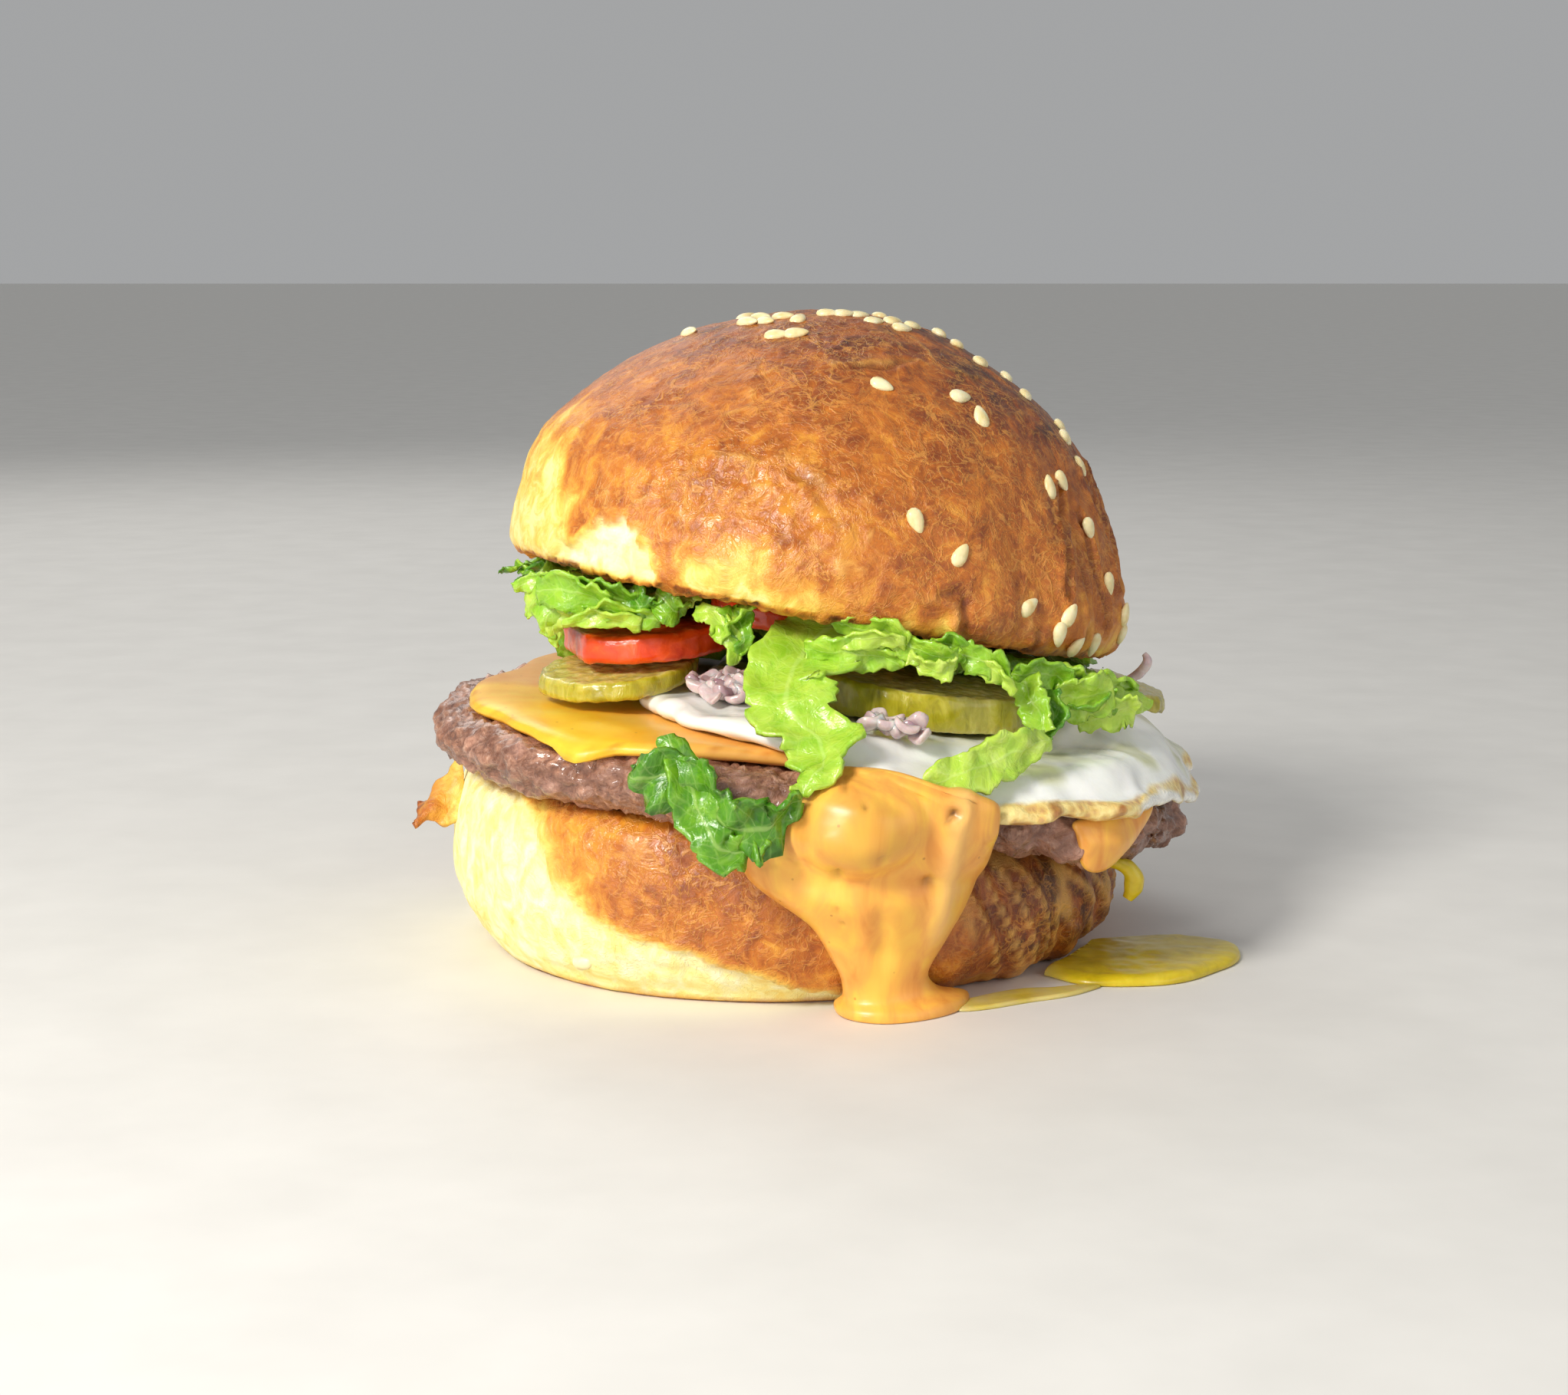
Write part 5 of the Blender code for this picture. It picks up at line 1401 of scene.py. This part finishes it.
# Lettuce
def leaf_into(parts, spine, widths, across, wave, twist, seed, tone, cup, along, wide):
    """A wavy strip of leaf added to the lists; spine in millimetres, ruffled at its edges.

    along and wide count its vertices; wave, twist and cup bend it."""
    verts, faces, us, vs, tones = parts
    path = [Vector(p) for p in spine]
    count = len(path) - 1
    first = len(verts)
    length = sum((b - a).length for a, b in zip(path, path[1:]))
    for i in range(along):
        t = i / (along - 1) * count
        low = min(int(t), count - 1)
        part = t - low
        before, after = path[max(low - 1, 0)], path[min(low + 2, count)]
        here = 0.5 * ((2 * path[low]) + (path[low + 1] - before) * part
                      + (2 * before - 5 * path[low] + 4 * path[low + 1] - after) * part ** 2
                      + (3 * path[low] - before - 3 * path[low + 1] + after) * part ** 3)
        width = (widths[low] * (1 - part) + widths[low + 1] * part) / 2
        ahead = (after - before).normalized()
        side = Vector(across).normalized()
        side = (side - ahead * side.dot(ahead)).normalized()
        up = ahead.cross(side)
        swing = twist * (t / count - 0.5)
        side = side * math.cos(swing) + up * math.sin(swing)
        up = ahead.cross(side)
        for j in range(wide):
            v = 2 * j / (wide - 1) - 1
            frill = abs(v) ** 1.5
            ripple = math.sin(t * 2.6 + seed + v * 1.7) + 0.5 * math.sin(t * 5.1 - v * 2.4)
            ruffle = frill * math.sin(t * 8.3 + seed * 2 + (3 if v > 0 else 0)) * 0.55
            torn = noise.noise(Vector((t * 4.5, seed * 3.7, v * 0.6)))
            edge = 1 + 0.12 * math.sin(t * 4.3 + seed * 3 + v) + 0.34 * frill * torn
            rise = wave * (ripple + ruffle) + cup * (v * v - 0.4) * width
            spot = here + side * (v * width * edge) + up * rise
            rough = Vector((seed * 7, 0, 0)) + spot / 2.1
            spot = spot + noise.noise_vector(rough) * 0.42 + noise.noise_vector(rough * 2.3) * 0.16
            verts.append(spot * MM)
            us.append(t / count * length)
            vs.append(v)
            tones.append(tone)
    for i in range(along - 1):
        for j in range(wide - 1):
            a = first + i * wide + j
            faces.append((a, a + 1, a + wide + 1, a + wide))


def leaf_object(name, parts, look, depth, *replaced):
    verts, faces, us, vs, tones = parts
    leaf = new_object(name, verts, faces)
    paint(leaf, "along", us)
    paint(leaf, "across", vs)
    paint(leaf, "tone", tones)
    thicken(leaf, depth)
    return dress(leaf, look, "lettuce", *replaced)


def lettuce_look():
    look = Look("lettuce_leaf", roughness=0.27, soft=(0.2, 1.2), coat=(0.2, 0.12),
                subsurface_radius=(0.6, 1.0, 0.2))
    blotch = look.noise(3.5 * MM, 4, 0.6, 0.6)
    level = look.swayed(look.painted("tone"), blotch, 0.7)
    colour = look.ramp(level, [(0.0, (30, 84, 12)), (0.25, (82, 142, 22)), (0.5, (142, 192, 40)),
                               (0.75, (184, 214, 74)), (1.0, (216, 230, 132))])
    net = look.eased(look.cells(2.6 * MM, "DISTANCE_TO_EDGE"), 0.0, 0.09, 1.0, 0.0)
    side = look.math("ABSOLUTE", look.painted("across"))
    run = look.math("MULTIPLY_ADD", side, 1.1, look.math("MULTIPLY", look.painted("along"), 0.33))
    wave = look.math("ABSOLUTE", look.math("SUBTRACT", look.math("FRACT", run), 0.5))
    ribs = look.eased(wave, 0.0, 0.07, 1.0, 0.0)
    middle = look.eased(side, 0.02, 0.10, 1.0, 0.0)
    veins = look.strongest((net, 0.1), (ribs, 0.14), (middle, 0.28))
    look.colour(look.mix(veins, colour, (208, 232, 140)))
    look.bump(veins, 0.25 * MM, 0.5)
    look.bump(blotch, 0.9 * MM, 0.6)
    return look


# Leaves with a node of their own; each strip has its spine, widths, direction across, wave,
# twist and tone
LEAVES = {
    "lettuce_centre": [
        ([(9, -36, 54.5), (4, -43, 52), (1.5, -49, 48.5), (1.8, -53, 44.5), (6, -57.5, 41),
          (6, -62, 37.5), (3, -64.5, 35)],
         (13, 15, 13, 12, 11, 6, 2), (1, -0.1, 0.1), 0.5, 0.3, 0.62),
        ([(4, -44.5, 52.4), (9, -46, 52.2), (14, -45.5, 51.2), (18.5, -44.5, 50)],
         (3.4, 5, 4, 1.4), (0, -0.35, 1), 0.5, 0.2, 0.6)],
    "lettuce_front": [
        ([(-20.5, -62, 37), (-16, -63.5, 37.2), (-11, -65, 34.5), (-6, -66, 31), (-1, -66, 30.6),
          (3.2, -65, 34.4)], (4, 9, 10, 8, 8, 3), (0, -0.25, 1), 1.1, 0.5, 0.22),
        ([(-15.5, -61, 42.5), (-13, -63.5, 38), (-10.5, -65.5, 32), (-8, -66.5, 27.6),
          (-4, -66, 26.8), (-2, -65.2, 29.5)], (2, 6, 7.5, 6, 5, 3), (1, 0.1, 0.3), 0.6, 0.4, 0.3)],
    "lettuce_right": [
        ([(19.5, -60.2, 34.2), (24, -58.6, 36.0), (29.5, -56.0, 37.4), (34.5, -52.5, 38.8),
          (39, -48, 39.6)],
         (2.2, 5.6, 6.8, 6.2, 2.6), (0.1, 0.45, 1), 0.5, 0.3, 0.72)],
    "lettuce_end": [
        ([(42, -33, 46), (46.5, -30.5, 45.2), (51, -27.5, 43.6), (54.5, -24.5, 43.2)],
         (4.4, 5.6, 5, 2.6), (0.2, -0.7, 0.8), 0.7, 0.6, 0.6),
        ([(44, -31, 43.4), (49, -29, 42.2), (53.5, -25.5, 41.4), (57, -21.5, 39.8)],
         (3.4, 4.6, 4.6, 1.8), (0.1, -0.2, 1), 0.6, -0.5, 0.66)],
}
# Shreds that show from the front: spine, widths, direction across, tone
SHREDS = [
    ([(-40.5, -24, 58.8), (-37.9, -25, 59.6), (-34.8, -26, 59.9), (-31.4, -26, 59.5)],
     (1.6, 2.6, 3, 4), (0, -0.3, 1), 0.6),
    ([(-38.5, -24, 54), (-37.3, -25, 56.6), (-35.2, -26, 58.8), (-32.2, -26, 59.7)],
     (0.6, 2.6, 4, 4), (1, -0.2, 0), 0.62),
    ([(-35, -27, 51.6), (-34.6, -28, 54.6), (-33.1, -29, 57.2), (-30.3, -29, 58.9)],
     (2.5, 5, 6, 5), (1, -0.4, 0), 0.55),
    ([(-33.9, -27, 50.4), (-34, -28, 53.5), (-32.3, -29, 56)], (0.8, 3, 4), (1, -0.2, 0.2), 0.72),
    ([(-36.4, -28, 59), (-32.7, -31, 59.2), (-28.5, -33, 58.5), (-24.5, -34, 57)],
     (4, 6, 7, 5), (0, -0.4, 1), 0.5),
    ([(-31, -30, 59.6), (-26.8, -33, 59.2), (-22.7, -34, 57.8), (-19.3, -34, 56.1)],
     (4, 6, 6, 4), (0, -0.6, 1), 0.42),
    ([(-21.9, -34, 60.1), (-21, -35, 57.9), (-19.3, -35, 56.2), (-17.3, -35, 57.4)],
     (4, 5, 5, 3), (1, -0.3, 0.2), 0.3),
    ([(-18.2, -34, 59.5), (-16.4, -36, 58.1), (-14.7, -36, 56.4), (-13, -35, 57.9)],
     (3, 5, 4, 3), (1, -0.1, 0.4), 0.4),
    ([(-32.1, -32, 54.4), (-27.9, -34, 55.4), (-23.9, -35, 55.3), (-20.4, -35, 54.8)],
     (1.5, 3, 3.4, 2), (0, -0.5, 1), 0.68),
    ([(-29.1, -33, 55.9), (-25.5, -35, 56.7), (-21.6, -35, 56.2), (-17.6, -35, 54.8)],
     (3, 4, 4, 2), (0, -0.7, 1), 0.52),
    ([(-15.3, -34, 56.1), (-13.8, -34, 58.2), (-12.5, -33, 59.6)],
     (1.5, 2.5, 3), (1, 0, -0.5), 0.7),
    ([(-12.3, -38, 57), (-10, -40, 56.7), (-8.3, -41, 55.3), (-6.6, -42, 52.6), (-6.4, -42, 49.5)],
     (2, 3, 3.4, 3.4, 1), (1, 0, 0.6), 0.66),
    ([(-3.3, -40, 58), (-6.1, -41, 57), (-7.7, -42, 54.7), (-8.9, -42, 52.9)],
     (4, 5, 3.4, 1), (1, -0.2, 0.7), 0.6),
    ([(-7.2, -40, 58), (-5.8, -41, 55.7), (-4.9, -42, 53.2), (-5.8, -42, 50.9)],
     (4, 4, 3, 1.4), (1, 0.1, 0), 0.42),
    ([(7.4, -44, 57), (10.7, -45, 55.6), (15.1, -46, 55), (19, -46, 53.6)],
     (2.4, 4.4, 5, 3), (0, -0.5, 1), 0.6),
    ([(7.2, -46, 53.4), (10.6, -47, 53.8), (15.1, -47, 54.2), (18.4, -46, 53.4)],
     (1, 2.4, 3, 2), (0, -0.4, 1), 0.72),
    ([(16.8, -45, 54), (20.1, -46, 52.4), (23.5, -46, 51.4), (26.3, -45, 51)],
     (3, 4.2, 4.4, 2.4), (0.3, -0.3, 1), 0.55),
    ([(19, -46, 51.4), (21.2, -47, 50.2), (24, -47, 49.4), (25.7, -46, 50.4)],
     (2, 3, 3.2, 2), (0, -0.4, 1), 0.72),
    ([(25.3, -43, 52), (28.6, -44, 51), (31.6, -44, 49.8), (33.6, -43, 47.4)],
     (3, 4.2, 4, 2), (0.4, -0.2, 1), 0.5),
    ([(28, -43, 49.8), (30.9, -44, 49), (33.1, -44, 47.6), (34.4, -43, 45.6)],
     (2.4, 2.8, 2.4, 1), (0.3, -0.5, 1), 0.7),
    ([(21.9, -44, 52.2), (24.7, -44, 52.8), (27.7, -44, 51.8)], (2.4, 4, 3.4), (0, -0.3, 1), 0.45),
    ([(36.5, -38, 46.9), (37.2, -39, 44.7), (38.3, -40, 42), (39.4, -41, 39.3)],
     (4, 5, 4.4, 3), (1, -0.4, 0), 0.52),
    ([(34.8, -37, 47.3), (38.3, -36, 47.4), (42, -34, 46.2), (43.8, -33, 44.9)],
     (3, 5, 5, 4), (0, -0.5, 1), 0.45),
    ([(41.6, -33, 43.7), (44.5, -33, 42.9), (48, -32, 43.6), (50.4, -31, 44.6)],
     (4, 7, 7.4, 5), (0.1, -0.3, 1), 0.66),
    ([(42.9, -32, 41.2), (45.8, -32, 40.7), (49.3, -31, 41.7), (51.2, -30, 43.2)],
     (3, 4, 4, 3), (0, -0.8, 1), 0.4),
    ([(45.5, -30, 38.5), (48.9, -30, 39.7), (52.5, -29, 40.7), (54.6, -28, 40)],
     (2, 5, 6, 5), (0, -0.4, 1), 0.72),
    ([(40.1, -36, 44.8), (40.8, -37, 42.1), (40, -38, 39.4), (38.2, -39, 37.8)],
     (4, 5, 4, 3), (1, -0.5, 0), 0.3),
]


def make_leaves(look):
    for name, strips in LEAVES.items():
        parts = ([], [], [], [], [])
        for number, (spine, widths, across, wave, twist, tone) in enumerate(strips):
            size = 16 if max(widths) > 10 else 12
            seed = number + len(spine)
            leaf_into(parts, spine, widths, across, wave, twist, seed, tone, 0.12, 44, size)
        leaf_object(name + "_leaf", parts, look, 0.7 * MM, name)


def crown_bottom(x, y):
    """Height of the crown's flat underside."""
    normal = crown_matrix().to_3x3() @ Vector((0, 0, 1))
    fall = normal.x * (x - CROWN_CENTRE.x) + normal.y * (y - CROWN_CENTRE.y)
    return CROWN_CENTRE.z - fall / normal.z


def make_bed(look):
    """The shreds between the toppings and the crown, round its edge, over a dark core."""
    parts = ([], [], [], [], [])
    for number, (spine, widths, across, tone) in enumerate(SHREDS):
        twist = 0.5 * math.sin(number * 2.1)
        leaf_into(parts, spine, widths, across, 0.35, twist, number * 1.7, tone, 0.3, 24, 9)
    dice = random.Random(17)
    tree = trees_of("lettuce")[0]
    origin = Vector((3 * MM, 4 * MM, crown_bottom(0.003, 0.004) - 3 * MM))
    for number in range(120):
        angle = math.radians(number * 3 + dice.uniform(-2, 2))
        front = 228 < math.degrees(angle) % 360 < 326
        if front and number % 4:
            continue
        out = Vector((math.cos(angle), math.sin(angle), 0))
        hit = tree.ray_cast(origin + out * 0.09, -out)[0]
        if hit is None:
            continue
        across = Vector((-math.sin(angle), math.cos(angle), dice.uniform(-0.8, 0.8)))
        reach = dice.uniform(1.0, 5.0)
        turn = dice.uniform(-0.5, 0.5)
        spine = []
        for step in range(4):
            bend = out + Vector((-out.y, out.x, 0)) * turn * step * 0.3
            x = hit.x / MM + bend.x * (step - 2) * reach * 0.8
            y = hit.y / MM + bend.y * (step - 2) * reach * 0.8
            high = crown_bottom(x * MM, y * MM) / MM - 1.6
            spine.append((x, y, high - dice.uniform(0, 2.2) - step * dice.uniform(0.2, 1.3)))
        width = dice.uniform(2.4, 5.4)
        widths = (width, width, width, width * 0.6)
        leaf_into(parts, spine, widths, across, 0.4, dice.uniform(-1, 1), number * 1.3,
                  dice.uniform(0.25, 0.7), 0.3, 14, 7)
    leaf_object("lettuce_shreds", parts, look, 0.45 * MM, "lettuce")
    core = add_object("lettuce_core", nodes["lettuce"].data.copy())
    core.data.materials.clear()
    remesh = core.modifiers.new("even", "REMESH")
    remesh.mode = "VOXEL"
    remesh.voxel_size = 0.8 * MM
    settle(core)
    smooth(core.data)
    co = points_of(core)
    crumple = 0.7 * MM * (ridges(co, 4 * MM, 101) - 0.6) + 0.25 * MM * field(co, 1.8 * MM, 102)
    put_points(core, co + normals_of(core) * (crumple - 0.35 * MM)[:, None])
    paint(core, "along", field(co, 8 * MM, 103) * 30)
    paint(core, "across", field(co, 5 * MM, 104))
    paint(core, "tone", 0.28 + 0.35 * field(co, 4 * MM, 105))
    dress(core, look, "lettuce", "lettuce")


def main():
    make_camera()
    make_studio()
    crust = crust_look()
    crown = make_crown(crust)
    heel = make_heel(crust)
    make_flap(crust)
    make_seeds(seed_look(), crown, heel)
    make_patty(patty_look())
    make_cheese(cheese_look())
    make_egg(egg_look())
    pickle = pickle_look()
    tomato = tomato_look()
    for name in SLICES:
        make_slice(name, pickle if name.startswith("pickle") else tomato)
    onion = onion_look()
    for name in ONION_HEAPS:
        make_onion(name, onion)
    make_strand("onion_shred", onion, "onion", ONION_CURL, "onion_curl")
    sauce = sauce_look()
    make_sauce(sauce)
    make_side_sauce(sauce)
    yolk = yolk_look()
    make_pool(yolk)
    make_puddle(yolk)
    make_strand("yolk_tongue", yolk, "yolk", YOLK_TONGUE, "yolk_drip")
    leaf = lettuce_look()
    make_leaves(leaf)
    make_bed(leaf)


main()
